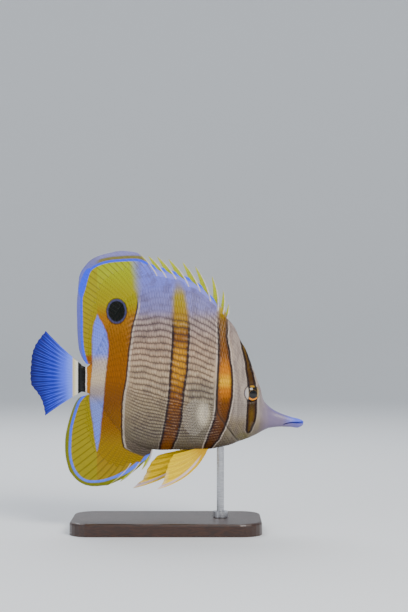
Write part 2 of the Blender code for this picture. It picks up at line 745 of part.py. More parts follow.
def finish_materials():
    pearl = material("pearl_skin", (0.78, 0.72, 0.64), 0.35)
    yellow = material("yellow_fin", (0.80, 0.62, 0.05), 0.4)
    blue = material("blue_fin", (0.25, 0.38, 0.90), 0.35)
    clear = material("clear_fin", (0.75, 0.76, 0.74), 0.3)
    black = material("eye_black", (0.02, 0.02, 0.025), 0.08)
    wood = material("dark_wood", (0.12, 0.07, 0.04), 0.45)
    steel = material("steel", (0.62, 0.62, 0.63), 0.3, 1.0)
    finishes = {
        "tail_fin": blue, "eye": black, "pectoral": clear, "pelvic": yellow, "dorsal_fin": yellow,
        "anal_fin": yellow, "stand_base": wood, "stand_rod": steel, "stand_collar": steel,
    }
    for thing in bpy.context.scene.objects:
        found = [finishes[key] for key in finishes if thing.name.startswith(key)]
        thing.data.materials.clear()
        thing.data.materials.append(found[0] if found else pearl)
        thing.data.shade_smooth()
        thing.data.set_sharp_from_angle(angle=radians(50))


def main():
    clear_scene()
    parts = part_body(make_body())
    lift_gill_cover(parts["gill_cover_left"])
    lift_gill_cover(parts["gill_cover_right"])
    make_dorsal_fins()
    make_anal_fin()
    make_tail_fin()
    for side in (1, -1):
        make_pectoral_fin(side)
        make_eye(side)
    # The right pelvic fin is spread, and the left one is swept further back. Each edge runs from the tip
    # of the foremost ray to the belly: x, height, then the distance from the middle plane.
    make_pelvic_fin(-1, 22.8, 17.4, (
        (-4.7, 23.9, 13.4), (-2.5, 26.1, 12.6), (-1.4, 28.6, 11.6), (-0.3, 32.5, 9.8), (0.8, 36.0, 7.8),
        (2.5, 39.9, 5.4), (4.1, 42.0, 3.8),
    ))
    make_pelvic_fin(1, 18.6, 13.4, (
        (-19.0, 22.0, 8.6), (-16.2, 24.8, 8.2), (-14.0, 26.4, 7.8), (-12.7, 28.6, 7.2), (-11.3, 31.9, 6.4),
        (-9.6, 35.2, 5.6), (-7.4, 38.2, 4.6), (-4.7, 40.7, 3.8), (-1.4, 41.8, 3.4),
    ))
    make_stand(parts["torso"])
    finish_materials()


main()
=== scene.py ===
from math import cos, pi, radians, sin

import bmesh
import bpy
import numpy as np
from mathutils import Matrix, Vector


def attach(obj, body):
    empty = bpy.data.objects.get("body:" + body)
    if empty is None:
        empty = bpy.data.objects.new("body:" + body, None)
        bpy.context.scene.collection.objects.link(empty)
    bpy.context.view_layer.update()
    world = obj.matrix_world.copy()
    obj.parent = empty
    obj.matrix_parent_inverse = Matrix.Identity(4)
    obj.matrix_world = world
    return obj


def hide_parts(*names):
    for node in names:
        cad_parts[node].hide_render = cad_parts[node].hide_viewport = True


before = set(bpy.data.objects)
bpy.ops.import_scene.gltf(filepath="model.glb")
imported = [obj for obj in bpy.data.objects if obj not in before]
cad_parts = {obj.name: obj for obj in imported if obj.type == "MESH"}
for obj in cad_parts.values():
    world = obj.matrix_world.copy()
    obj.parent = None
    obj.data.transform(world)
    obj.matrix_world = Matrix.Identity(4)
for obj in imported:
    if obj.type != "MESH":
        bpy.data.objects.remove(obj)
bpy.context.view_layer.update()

MM = 0.001

# The room: a pale round floor that curves up into a wall on every side, a level camera square to the
# fish's right flank at the photograph's scale, and broad soft lamps with the strongest above and in
# front of the head.
FLOOR_RADIUS, SWEEP_RADIUS, WALL = 1.25, 0.55, 0.1
bm = bmesh.new()
bmesh.ops.create_grid(bm, x_segments=72, y_segments=60, size=0.5)
for spot in bm.verts:
    angle, along = 2 * pi * spot.co.x, (spot.co.y + 0.5) * (FLOOR_RADIUS + SWEEP_RADIUS * pi / 2 + WALL)
    bend = min(max(0.0, (along - FLOOR_RADIUS) / SWEEP_RADIUS), pi / 2)
    out = min(along, FLOOR_RADIUS) + SWEEP_RADIUS * sin(bend)
    up = SWEEP_RADIUS * (1 - cos(bend)) + max(0.0, along - FLOOR_RADIUS - SWEEP_RADIUS * pi / 2)
    spot.co = (out * cos(angle), out * sin(angle), up)
bmesh.ops.remove_doubles(bm, verts=bm.verts, dist=1e-5)
bmesh.ops.recalc_face_normals(bm, faces=bm.faces)
room = bpy.data.objects.new("floor", bpy.data.meshes.new("floor"))
bm.to_mesh(room.data)
bm.free()
bpy.context.collection.objects.link(room)
room.data.shade_smooth()
paper = bpy.data.materials.new("pale_paper")
paper.use_nodes = True
paper.node_tree.nodes["Principled BSDF"].inputs["Base Color"].default_value = (0.86, 0.88, 0.90, 1)
paper.node_tree.nodes["Principled BSDF"].inputs["Roughness"].default_value = 0.85
room.data.materials.append(paper)

CAMERA_DISTANCE, VIEW_WIDTH, FILM_WIDTH = 900, 336.6, 36
camera = bpy.data.objects.new("camera", bpy.data.cameras.new("camera"))
bpy.context.collection.objects.link(camera)
camera.location = Vector((20.6, -CAMERA_DISTANCE, 123.2)) * MM
camera.rotation_euler = (pi / 2, 0, 0)
camera.data.sensor_width = FILM_WIDTH
camera.data.lens = FILM_WIDTH * CAMERA_DISTANCE / VIEW_WIDTH
camera.data.clip_start = 0.01
bpy.context.scene.camera = camera

world = bpy.data.worlds.new("soft_room")
world.use_nodes = True
world.node_tree.nodes["Background"].inputs["Color"].default_value = (0.86, 0.92, 1.0, 1)
world.node_tree.nodes["Background"].inputs["Strength"].default_value = 0.5
bpy.context.scene.world = world


def lamp(name, place, aim, size, watts, colour):
    """A square soft lamp that looks at a point."""
    light = bpy.data.lights.new(name, "AREA")
    light.size, light.energy, light.color = size, watts, colour
    stand = bpy.data.objects.new(name, light)
    stand.location = place
    stand.rotation_euler = (Vector(aim) - Vector(place)).to_track_quat("-Z", "Y").to_euler()
    bpy.context.collection.objects.link(stand)


lamp("key", (0.45, -0.75, 0.70), (0.0, 0, 0.09), 0.45, 10, (1.0, 0.97, 0.93))
lamp("fill", (-0.70, -0.60, 0.30), (0.0, 0, 0.08), 0.7, 1.8, (0.9, 0.95, 1.0))
lamp("back", (-0.2, 0.55, 0.75), (0.0, 0, 0.08), 0.6, 5, (0.95, 0.97, 1.0))


# The body: one unbroken skin from the snout to the tail stalk, thin from side to side and keeled above
# and below. It is a tube wrapped round the fish's outline; the gill covers, the orbits, the nostrils and
# the slit between the jaws are raised or sunk in its own surface.
BACK = (
    (-47.3, 91.0), (-45.4, 90.2), (-43.7, 90.0), (-42.1, 91.3), (-40.4, 94.1), (-36.6, 102.9),
    (-32.2, 112.8), (-26.7, 121.6), (-20.1, 128.7), (-11.8, 133.1), (-3.6, 134.8), (4.7, 134.2),
    (12.9, 131.5), (21.2, 126.5), (28.3, 119.9), (32.7, 117.0), (34.9, 115.0), (38.2, 110.3),
    (40.7, 104.5), (43.7, 99.3), (45.9, 93.5), (48.7, 85.8), (50.3, 81.4), (51.7, 77.8),
    (52.5, 74.2), (53.4, 71.5), (54.5, 69.9), (55.8, 68.5), (57.5, 67.1), (59.7, 65.7),
    (62.4, 64.4), (67.9, 62.4), (73.4, 60.9), (75.1, 60.2),
)
BELLY = (
    (-47.3, 76.0), (-44.3, 75.6), (-42.4, 74.8), (-40.4, 73.2), (-36.6, 68.8), (-31.1, 61.1),
    (-25.6, 54.5), (-20.1, 49.5), (-14.6, 46.2), (-9.1, 44.6), (-4.7, 44.0), (4.7, 44.2),
    (15.7, 44.3), (23.9, 44.6), (29.4, 45.7), (34.9, 46.8), (40.4, 49.0), (45.9, 50.9),
    (49.8, 52.8), (53.1, 54.7), (55.3, 55.8), (58.0, 56.4), (62.4, 56.8), (67.9, 56.7),
    (73.4, 56.7), (75.1, 57.8),
)
HALF_WIDTH = (
    (-47.3, 2.2), (-40.0, 3.1), (-33.0, 4.1), (-25.0, 5.4), (-16.0, 6.9), (-6.0, 8.5), (4.0, 9.7),
    (14.0, 10.4), (24.0, 10.7), (30.0, 10.4), (36.0, 9.6), (42.0, 8.4), (47.0, 7.1), (51.0, 5.9),
    (54.0, 4.5), (57.0, 3.5), (61.0, 2.7), (66.0, 2.15), (70.0, 1.9), (72.8, 2.05), (74.4, 1.75), (75.1, 1.2),
)
WIDEST_AT = (
    (-47.3, 83.3), (-31.1, 81.4), (-9.1, 75.9), (10.2, 71.0), (29.4, 69.3), (40.4, 69.9),
    (45.9, 69.3), (49.8, 66.6), (53.6, 63.3), (58.0, 61.1), (65.2, 59.6), (75.1, 59.0),
)
BACK_KEEL = (
    (-47.3, 1.0), (-36.0, 1.5), (0.0, 1.7), (34.0, 1.5), (42.0, 1.1), (50.0, 0.8), (60.0, 1.0), (75.1, 1.0),
)
BELLY_KEEL = (
    (-47.3, 1.0), (-36.0, 1.5), (-8.0, 1.5), (12.0, 1.0), (36.0, 1.1), (50.0, 1.2), (60.0, 1.0), (75.1, 1.0),
)
RIDGE_FLAT = ((-47.3, 0.8), (33.0, 0.8), (44.0, 0.35), (75.1, 0.3))
GILL_EDGE = (
    (45.7, 42.1), (50.9, 38.2), (55.3, 34.9), (60.0, 31.6), (63.8, 28.9), (68.8, 27.5), (77.0, 27.5),
    (86.9, 28.1), (97.9, 28.9),
)
CHEEK_LINE = (
    (46.2, 46.5), (50.6, 43.7), (55.0, 41.0), (60.5, 39.3), (66.0, 38.8), (71.5, 39.1), (78.1, 38.8),
    (85.8, 37.7),
)
SLIT = ((63.0, 57.6), (64.9, 58.4), (67.4, 59.0), (72.3, 59.2), (76.0, 59.3))
EYE = (46.6, 5.3, 75.5)
EYE_RADIUS, EYE_DEPTH, EYE_TURN = 4.7, 2.6, radians(20)
NOSTRILS = ((51.6, 70.2), (52.9, 68.3))
SCALE_DEPTH = 0.15
SKIN_RINGS, SKIN_SIDES = 430, 144
LEFT_AND_RIGHT = ((1, "left"), (-1, "right"))


def smooth(rows):
    """A smooth function through rows of a rising number and its value, or values."""
    rows = np.array(rows, float)
    knots, values = rows[:, 0], rows[:, 1:]
    step = np.diff(knots)[:, None]
    rise = np.diff(values, axis=0) / step
    middle = (rise[:-1] * step[1:] + rise[1:] * step[:-1]) / (step[:-1] + step[1:])
    slope = np.vstack([rise[:1], middle, rise[-1:]])

    def at(x):
        x = np.clip(np.asarray(x, float), knots[0], knots[-1])
        i = np.clip(np.searchsorted(knots, x, "right") - 1, 0, len(step) - 1)
        t = ((x - knots[i]) / step[i, 0])[..., None]
        value = (2 * t**3 - 3 * t**2 + 1) * values[i] + (3 * t**2 - 2 * t**3) * values[i + 1]
        value = value + ((t**3 - 2 * t**2 + t) * slope[i] + (t**3 - t**2) * slope[i + 1]) * step[i]
        return value[..., 0] if values.shape[1] == 1 else value

    return at


def ease(value, start, end):
    """From 0 at start to 1 at end, with soft ends."""
    t = np.clip((value - start) / (end - start), 0, 1)
    return t * t * (3 - 2 * t)


def bump(value, centre, width):
    """A rounded rise of height 1 about a centre."""
    return np.exp(-(((value - centre) / width) ** 2))


back_z, belly_z, half_width, widest_z = smooth(BACK), smooth(BELLY), smooth(HALF_WIDTH), smooth(WIDEST_AT)
back_keel, belly_keel, ridge_flat = smooth(BACK_KEEL), smooth(BELLY_KEEL), smooth(RIDGE_FLAT)
gill_edge, cheek_line, slit_z = smooth(GILL_EDGE), smooth(CHEEK_LINE), smooth(SLIT)


def section_half(x, z):
    """Half the thickness of the plain body at a point of its side view, in millimetres."""
    up = z > widest_z(x)
    reach = np.where(up, back_z(x) - widest_z(x), widest_z(x) - belly_z(x))
    share = np.clip(np.abs(z - widest_z(x)) / reach, 0, 1)
    keel = np.where(up, back_keel(x), belly_keel(x))
    flat = np.minimum(ridge_flat(x), half_width(x) * 0.6)
    return flat + (half_width(x) - flat) * (1 - share**2) ** (keel / 2)


def under_scales(x):
    """How far the skin lies below the body's outer surface, which on the body is that of the scales."""
    return SCALE_DEPTH * (1 - ease(x, 48, 56))


def eye_ring(x, z):
    """The distance of points of the side view from the eye's middle, in the plane of the turned eye."""
    return np.hypot((x - EYE[0]) / cos(EYE_TURN), z - EYE[2])


def skin_half(x, z):
    """The skin's half thickness, with gill cover, cheek, orbit, nostrils, lips and mouth slit."""
    half = section_half(x, z) - under_scales(x)
    gill = x - gill_edge(z)
    cover = ease(gill, -0.1, 0.3) * (1 - ease(gill, 2.5, 9)) * 0.55 - 0.25 * bump(gill, -0.35, 0.35)
    half = half + cover * ease(z, 45, 50) * (1 - ease(z, 90, 98))
    cheek = x - cheek_line(z)
    fold = 0.16 * bump(cheek, 0.9, 0.7) - 0.2 * bump(cheek, 0, 0.4)
    half = half + fold * ease(z, 47, 52) * (1 - ease(z, 80, 86))
    level = EYE[1] - (x - EYE[0]) * np.tan(EYE_TURN)
    ring = eye_ring(x, z)
    orbit = np.maximum(half, level + 0.15) + 0.22 * bump(ring, 5.25, 0.5)
    half = half + (orbit - half) * (1 - ease(ring, 5.5, 7.2))
    half = np.where(ring < 5.6, half + (level - 0.9 - half) * (1 - ease(ring, 4.1, 4.6)), half)
    for nx, nz in NOSTRILS:
        away = np.hypot(x - nx, z - nz)
        half = half - 0.55 * bump(away, 0, 0.38) + 0.12 * bump(away, 0.75, 0.22)
    gap = 0.1 + 0.36 * ease(x, 65, 75.1)
    off = np.abs(z - slit_z(x))
    half = half + 0.14 * bump(off, gap + 0.45, 0.35) * ease(x, 66, 70)
    return half * (1 - 0.93 * (1 - ease(off, gap - 0.04, gap + 0.16)) * ease(x, 63.6, 65.2))


def skin_point(x, turn):
    """A point of the skin, in millimetres. turn goes once round from the belly, up the left side first."""
    angle = 2 * pi * turn
    lift, middle, under = -np.cos(angle), widest_z(x), under_scales(x)
    z = middle + lift * np.where(lift > 0, back_z(x) - under - middle, middle - belly_z(x) - under)
    side = np.clip(np.sin(angle) / 0.06, -1, 1)
    return np.stack([x, side * skin_half(x, z), z], axis=-1)


def grid_object(name, columns, rows, place, wrapped=False):
    """A mesh made from a grid. place(u, v) takes two arrays of shares and gives points in millimetres.
    A wrapped grid is closed where its last row meets its first, and is filled at both ends."""
    bm = bmesh.new()
    bmesh.ops.create_grid(bm, x_segments=columns, y_segments=rows, size=0.5)
    shares = np.array([spot.co[:2] for spot in bm.verts]) + 0.5
    for spot, point in zip(bm.verts, place(shares[:, 0], shares[:, 1]) * MM):
        spot.co = point
    if wrapped:
        bmesh.ops.remove_doubles(bm, verts=bm.verts, dist=1e-7)
        bmesh.ops.holes_fill(bm, edges=[edge for edge in bm.edges if edge.is_boundary], sides=0)
    bmesh.ops.recalc_face_normals(bm, faces=bm.faces)
    return finished(name, bm)


def finished(name, bm):
    """The object of a bmesh, smooth and ridden on the one body."""
    made = bpy.data.objects.new(name, bpy.data.meshes.new(name))
    bm.to_mesh(made.data)
    bm.free()
    made.data.shade_smooth()
    bpy.context.collection.objects.link(made)
    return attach(made, "root")


stations = smooth([(0, -47.4), (0.38, 22), (0.62, 40), (0.86, 64), (0.985, 75.0), (1, 75.25)])


def skin_place(u, v):
    """Points of the skin by the share of its length and of its way round."""
    x = stations(u)
    point = skin_point(np.minimum(x, 75.1), v)
    # The last rings draw in, so that the jaws end rounded.
    close = 1 - ease(x, 74.6, 75.3) ** 2 * 0.75
    middle = widest_z(x)
    point[:, 0] = x
    point[:, 1] *= close
    point[:, 2] = middle + (point[:, 2] - middle) * (0.5 + 0.5 * close)
    return point


skin = grid_object("skin", SKIN_RINGS, SKIN_SIDES, skin_place, wrapped=True)
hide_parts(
    "head", "snout", "lower_jaw", "gill_cover_left", "gill_cover_right", "torso", "tail_stalk"
)


PIGMENT_DEPTH = 3.05


def pigment(red, green, blue):
    """A colour as seen, from 0 to 255, as the deeper pigment that shows so in the pale room."""
    return tuple(
        ((part / 255 + 0.055) / 1.055) ** PIGMENT_DEPTH if part > 10 else part / 4000
        for part in (red, green, blue)
    )


class Flow:
    """A value that runs through a material's nodes. Sums written with it become Math nodes."""

    def __init__(self, tree, socket):
        self.tree, self.socket = tree, socket

    def node(self, kind, settings=None, sockets=None, output=0):
        """Adds a node: its settings first, then the values or links of its sockets."""
        made = self.tree.nodes.new(kind)
        for key, value in (settings or {}).items():
            if key == "stops":
                ramp = made.color_ramp
                ramp.interpolation = "CARDINAL" if len(value[0]) == 2 else "EASE"
                for i, (place, *colour) in enumerate(value):
                    stop = ramp.elements[i] if i < 2 else ramp.elements.new(place)
                    stop.position = place
                    stop.color = (*(colour * 3), 1) if len(colour) == 1 else (*colour, 1)
            else:
                setattr(made, key, value)
        for key, value in (sockets or {}).items():
            if isinstance(value, Flow):
                self.tree.links.new(value.socket, made.inputs[key])
            else:
                made.inputs[key].default_value = value
        return Flow(self.tree, made.outputs[output])

    def math(self, operation, *others):
        """A Math node on this value and others."""
        return self.node("ShaderNodeMath", {"operation": operation}, dict(enumerate((self, *others))))

    def __add__(self, other):
        return self.math("ADD", other)

    def __sub__(self, other):
        return self.math("SUBTRACT", other)

    def __rsub__(self, other):
        return self.node("ShaderNodeMath", {"operation": "SUBTRACT"}, {0: other, 1: self})

    def __mul__(self, other):
        return self.math("MULTIPLY", other)

    def __truediv__(self, other):
        return self.math("DIVIDE", other)

    def __abs__(self):
        return self.math("ABSOLUTE")

    __radd__, __rmul__ = __add__, __mul__

    def least(self, other):
        return self.math("MINIMUM", other)

    def away(self, other):
        """The distance from the middle, where this value and another are the two sides of a corner."""
        return (self * self + other * other).math("SQRT")

    def step(self, start, end):
        """From 0 at start to 1 at end, with soft ends."""
        sockets = {0: self, 1: start, 2: end, 3: 0.0, 4: 1.0}
        return self.node("ShaderNodeMapRange", {"interpolation_type": "SMOOTHSTEP"}, sockets)

    def curve(self, *points):
        """A smooth curve through points of this value and the result, as a ramp of greys."""
        low, high = points[0][0], points[-1][0]
        least = min(value for _, value in points) - 4
        span = max(value for _, value in points) + 4 - least
        stops = [((place - low) / (high - low), (value - least) / span) for place, value in points]
        return self.ramp(low, high, stops) * span + least

    def ramp(self, low, high, stops):
        """A Color Ramp over this value between two limits."""
        return self.node("ShaderNodeValToRGB", {"stops": stops}, {0: (self - low) / (high - low)})

    def tints(self, *points):
        """A ramp of colours over this value, from rows of the value and its red, green and blue."""
        low, high = points[0][0], points[-1][0]
        return self.ramp(low, high, [
            ((place - low) / (high - low), *pigment(*colour)) for place, *colour in points
        ])

    def between(self, start, end, soft):
        """1 where this value lies between two others, with soft edges."""
        return self.step(start - soft, start + soft) * (1 - self.step(end - soft, end + soft))

    def over(self, colour, share):
        """Lays a colour, plain or from nodes, over this one by a share."""
        top = (*pigment(*colour), 1) if isinstance(colour, tuple) else colour
        return self.node("ShaderNodeMix", {"data_type": "RGBA"}, {0: share, 6: self, 7: top}, 2)

    def layers(self, *rows):
        """Lays colours over this one in turn, from pairs of a colour and its share."""
        result = self
        for colour, share in rows:
            result = result.over(colour, share)
        return result

    def parts(self):
        """The three numbers of a vector."""
        split = self.node("ShaderNodeSeparateXYZ", None, {0: self})
        return [Flow(self.tree, socket) for socket in split.socket.node.outputs]


def new_material(name, roughness, **constants):
    """A material, the place on the object in millimetres, and its shader."""
    made = bpy.data.materials.new(name)
    made.use_nodes = True
    shader = made.node_tree.nodes["Principled BSDF"]
    shader.inputs["Roughness"].default_value = roughness
    for key, value in constants.items():
        shader.inputs[key.replace("_", " ")].default_value = value
    start = Flow(made.node_tree, None)
    place = start.node("ShaderNodeTexCoord", None, None, "Object")
    scaled = start.node("ShaderNodeVectorMath", {"operation": "SCALE"}, {0: place, "Scale": 1000.0})
    return made, shader, scaled


def noise(place, scale, detail):
    """Soft cloudy noise, with about so many changes in a millimetre as its scale."""
    return place.node("ShaderNodeTexNoise", None, {"Vector": place, "Scale": scale, "Detail": detail})


def stretched(place, scale):
    """A place with each of its axes scaled, so that a pattern on it runs long."""
    return place.node("ShaderNodeMapping", None, {"Vector": place, "Scale": scale})


def relief(height, strength, depth):
    """The bumps of a height, for a shader's normal. The depth is in metres."""
    sockets = {"Strength": strength, "Distance": depth, "Height": height}
    return height.node("ShaderNodeBump", None, sockets)


def feed(shader, **flows):
    """Links flows to a shader's sockets."""
    for key, flow in flows.items():
        flow.tree.links.new(flow.socket, shader.inputs[key.replace("_", " ")])


# The markings, which skin, scales and upright fins share: pearl with copper bands edged in dark brown, a
# yellow rear with an eyespot, a pale blue wedge and a black bar at the tail stalk. They are painted in the
# side view, from the rear edge and the front edge of each band, and its colours over the height.
# With the markings go painted shade and painted highlights: grey under the clear pectoral fin, a bright patch
# behind the gill cover, and bright and dark stops in the first band where it crosses the gill cover and the
# chest.
BANDS = {
    "first": ((
        (45.1, 20.6), (49.5, 22.0), (55.0, 23.9), (60.5, 25.9), (66.0, 27.0), (71.5, 27.5),
        (77.0, 27.8), (88.0, 28.3), (99.0, 28.6), (115.5, 28.3), (123.2, 28.5),
    ), (
        (45.1, 24.5), (49.5, 27.8), (55.0, 30.8), (60.5, 33.0), (66.0, 34.4), (71.5, 35.5),
        (77.0, 36.0), (88.0, 35.8), (93.5, 34.9), (99.0, 34.4), (104.5, 33.3), (115.5, 33.3),
        (123.2, 32.7),
    ), (
        # The first band's bright stops from about 77 to 88 mm are a painted highlight on the gill cover, and
        # its dark stops below about 70 mm painted shadow on the chest under the cover.
        (44, 98, 62, 0), (60, 112, 70, 0), (70, 130, 82, 0), (77, 196, 128, 0), (82, 232, 182, 0),
        (88, 206, 136, 0), (98, 144, 94, 0), (114, 138, 100, 0), (124, 190, 172, 0),
    )),
    "middle": ((
        (44.0, -3.9), (50.1, -2.5), (59.4, -0.7), (68.2, 0.7), (77.6, 1.8), (86.4, 2.3),
        (101.2, 3.4), (115.5, 3.6), (126.5, 3.6), (137.5, 4.7),
    ), (
        (44.0, 2.7), (50.1, 5.2), (59.4, 7.8), (68.2, 8.7), (77.6, 9.8), (86.4, 11.2),
        (101.2, 12.1), (110.0, 12.4), (121.0, 11.8), (126.5, 10.7), (132.0, 9.6), (137.5, 7.4),
    ), (
        (44, 136, 86, 0), (60, 122, 78, 0), (73, 148, 98, 0), (86, 202, 150, 0), (96, 206, 154, 0),
        (106, 154, 106, 0), (116, 176, 140, 0), (127, 172, 154, 20), (138, 160, 150, 110),
    )),
    "eye": ((
        (52.8, 44.6), (55.0, 43.9), (57.8, 44.0), (66.0, 44.3), (74.2, 44.6), (82.5, 44.6),
        (88.0, 43.7), (93.5, 43.2), (99.0, 41.8), (101.8, 41.2), (105.6, 40.7),
    ), (
        (52.8, 44.9), (55.0, 46.2), (57.8, 47.3), (60.5, 48.4), (66.0, 49.0), (74.2, 49.0),
        (82.5, 48.1), (88.0, 46.8), (93.5, 45.4), (99.0, 44.0), (101.8, 43.5), (105.6, 41.8),
    ), (
        (52, 104, 86, 0), (64, 120, 92, 0), (70, 80, 62, 6), (84, 94, 70, 6), (94, 124, 98, 4),
        (104, 150, 128, 40),
    )),
}
REAR_EDGE = (
    (27.5, -3.6), (38.5, -8.0), (41.8, -16.2), (44.6, -22.3), (47.3, -24.0), (55.0, -24.5),
    (66.0, -24.3), (71.5, -23.9), (77.0, -23.1), (82.5, -22.0), (88.0, -21.5), (93.5, -20.9),
    (99.0, -20.4), (104.5, -19.5), (110.0, -19.0), (115.5, -17.6), (121.0, -16.2), (126.5, -15.7),
    (132.0, -15.7), (143.0, -17.1), (154.0, -18.4),
)
PALE_EDGES = ((
    (43.5, -38.3), (49.5, -39.3), (60.5, -40.7), (71.5, -42.1), (82.5, -41.5), (90.8, -40.7),
    (104.5, -40.8), (112.8, -40.0), (115.5, -39.1), (118.3, -38.1),
), (
    (43.5, -38.1), (49.5, -36.9), (60.5, -35.8), (71.5, -34.5), (82.5, -33.6), (90.8, -32.7),
    (99.0, -32.0), (104.5, -32.2), (110.0, -33.6), (115.5, -36.3), (118.3, -37.8),
))
DARK = (38, 16, 18)
EYESPOT, EYESPOT_NARROW = (-27.4, 120.3), 0.81


def markings_and_painted_light(place):
    """The fish's colour at a place, with some painted shade and painted highlights, from its x and height in
    millimetres.
    """
    x, _, z = place.parts()
    x = x + (noise(place, 0.55, 3.0) - 0.5) * 0.7

    # Pearl, with painted shade under the clear pectoral fin, one bright painted highlight patch behind the
    # gill cover, and blue at the snout's tip.
    mottle = noise(place, 0.22, 5.0)
    fin_shade = x.between(12.5, 28, 1.5) * z.between(50, 82, 4)
    highlight_patch = ((x - 20.2) / 5.0).away((z - 64.5) / 9.5)
    olive = 1 - ((x - 42.0) / 4.5).away((z - 52.0) / 2.8).step(0.3, 1.0)
    silk = noise(stretched(place, (0.5, 0.5, 0.06)), 1.0, 3.0)
    edge = (z - x.curve(*[row for row in BACK if row[0] > 52])).least(0.0) * -1.0
    tip = x.step(63, 73) * (0.35 + 0.65 * z.step(58.6, 59.4))
    colour = z.tints(
        (44, 104, 94, 82), (52, 134, 124, 106), (66, 160, 145, 120), (84, 192, 170, 142),
        (100, 190, 165, 142), (114, 174, 156, 150), (123, 146, 142, 190), (142, 136, 142, 226),
    ).layers(
        ((112, 98, 92), mottle.step(0.46, 0.62) * 0.35),
        # painted shade where the clear pectoral fin lies over the flank
        ((134, 128, 116), fin_shade * 0.6),
        # a painted highlight, the shine behind the gill cover
        ((238, 226, 202), (1 - highlight_patch.step(0.2, 1.0)) * 0.8),
        ((176, 166, 160), x.step(33, 38) * z.step(58, 66) * 0.7),
        ((130, 124, 60), olive * 0.4),
        ((120, 108, 108), silk.step(0.45, 0.6) * x.step(30, 36) * 0.35),
        ((140, 128, 158), x.step(49, 58) * (0.75 + mottle * 0.3)),
        ((120, 130, 226), x.step(53, 60) * (1 - edge.step(0.2, 1.6)) * 0.25),
        ((116, 134, 250), tip * 0.9),
    )

    # The yellow rear, from copper at mid height to lemon above and below.
    gap = z.curve(*REAR_EDGE) - x
    yellow = z.tints(
        (24, 170, 150, 0), (44, 168, 138, 0), (60, 152, 106, 0), (72, 142, 92, 0), (88, 160, 104, 0),
        (104, 160, 108, 0), (116, 174, 124, 0), (126, 172, 162, 0), (146, 176, 184, 0),
    )
    soft = 0.35 + z.step(124, 134) * 3.2 + (1 - z.step(40, 46)) * 1.5
    firm = (1 - z.step(122, 130)) * z.step(42, 47)
    colour = colour.layers(
        ((214, 200, 186), gap.between(-1.5, -0.4, 0.3) * firm * 0.6),
        (yellow, gap.step(0 - soft, soft)),
        (DARK, gap.between(-0.35, 0.45, 0.3) * firm * 0.85),
    )

    # The bands, each pale along its outside and dark at its edges where it is firm.
    for name, (back_edge, front_edge, fill) in BANDS.items():
        back, front = z.curve(*back_edge), z.curve(*front_edge)
        if name == "eye":
            ends, soft = z.between(53.6, 104.5, 0.5), 0.35
            firm = ends
        else:
            ends = z.between(43, 123, 1.5) if name == "first" else z.step(41, 44) * (1 - z.step(128, 142))
            firm, soft = ends * (1 - z.step(108, 122)), 0.35 + z.step(104, 122) * 1.3
        rim = x.between(back - 1.2, front + 1.2, 0.3) * firm
        inside = x.between(back, front, soft)
        edge = abs(x - back).least(abs(x - front))
        colour = colour.layers(
            ((222, 208, 196), rim * (0.55 if name == "first" else 0.15)),
            (z.tints(*fill), inside * ends),
            ((84, 44, 6), (1 - edge.step(0.5, 2.1)) * inside * firm * 0.6),
            (DARK, (1 - edge.step(0.3, 0.85)) * firm * 0.92),
        )

    # The pale wedge, blue above and below and cream between, with clear yellow fins behind it; then gold,
    # white and black on the tail stalk, and the black eyespot in its ring of blue grey.
    left, right = z.curve(*PALE_EDGES[0]), z.curve(*PALE_EDGES[1])
    clear = (left - x).step(-0.4, 0.4) * (1 - z.between(75, 96, 1))
    wedge = z.tints(
        (44, 128, 152, 250), (68, 142, 156, 220), (76, 178, 164, 160), (84, 210, 192, 164),
        (92, 200, 184, 172), (98, 140, 154, 236), (118, 122, 142, 250),
    )
    outline = x.between(left - 0.3, right + 0.4, 0.5) * z.between(60, 112, 2)
    stalk = z.between(75, 91, 0.8)
    away = ((x - EYESPOT[0]) / EYESPOT_NARROW).away(z - EYESPOT[1])
    return colour.layers(
        ((168, 160, 0), clear * 0.8),
        ((94, 60, 40), outline * 0.4),
        (wedge, x.between(left, right, 0.55) * z.between(43.5, 118.5, 0.8)),
        ((192, 134, 0), x.between(-43.8, left, 0.3) * stalk),
        ((240, 232, 224), x.between(-44.6, -43.7, 0.25) * stalk),
        ((8, 8, 14), x.between(-48.4, -44.4, 0.3) * stalk),
        (DARK, (1 - away.step(6.9, 7.7)) * 0.75),
        ((88, 88, 124), 1 - away.step(6.4, 7.0)),
        ((12, 10, 18), 1 - away.step(5.3, 6.0)),
    )


wet_skin, shader, place = new_material(
    "wet_skin", 0.34, Specular_IOR_Level=0.3, Coat_Weight=0.1, Coat_Roughness=0.12
)
grain = noise(place, 3.5, 4.0)
x, _, z = place.parts()
gill_shadow = (1 - abs(x - z.curve(*GILL_EDGE) + 0.3).step(0.1, 0.7)) * z.between(47, 92, 3)
# A painted highlight: a blue line along the slit between the jaws.
slit_highlight = (1 - abs(z - x.curve(*SLIT)).step(0.1, 0.4)) * x.step(63.8, 65)
colour = markings_and_painted_light(place).layers(((60, 46, 40), gill_shadow * 0.5), ((80, 96, 200), slit_highlight * 0.6))
feed(shader, Base_Color=colour, Roughness=0.28 + grain * 0.14, Normal=relief(grain, 0.25, 0.0002))
skin.data.materials.append(wet_skin)


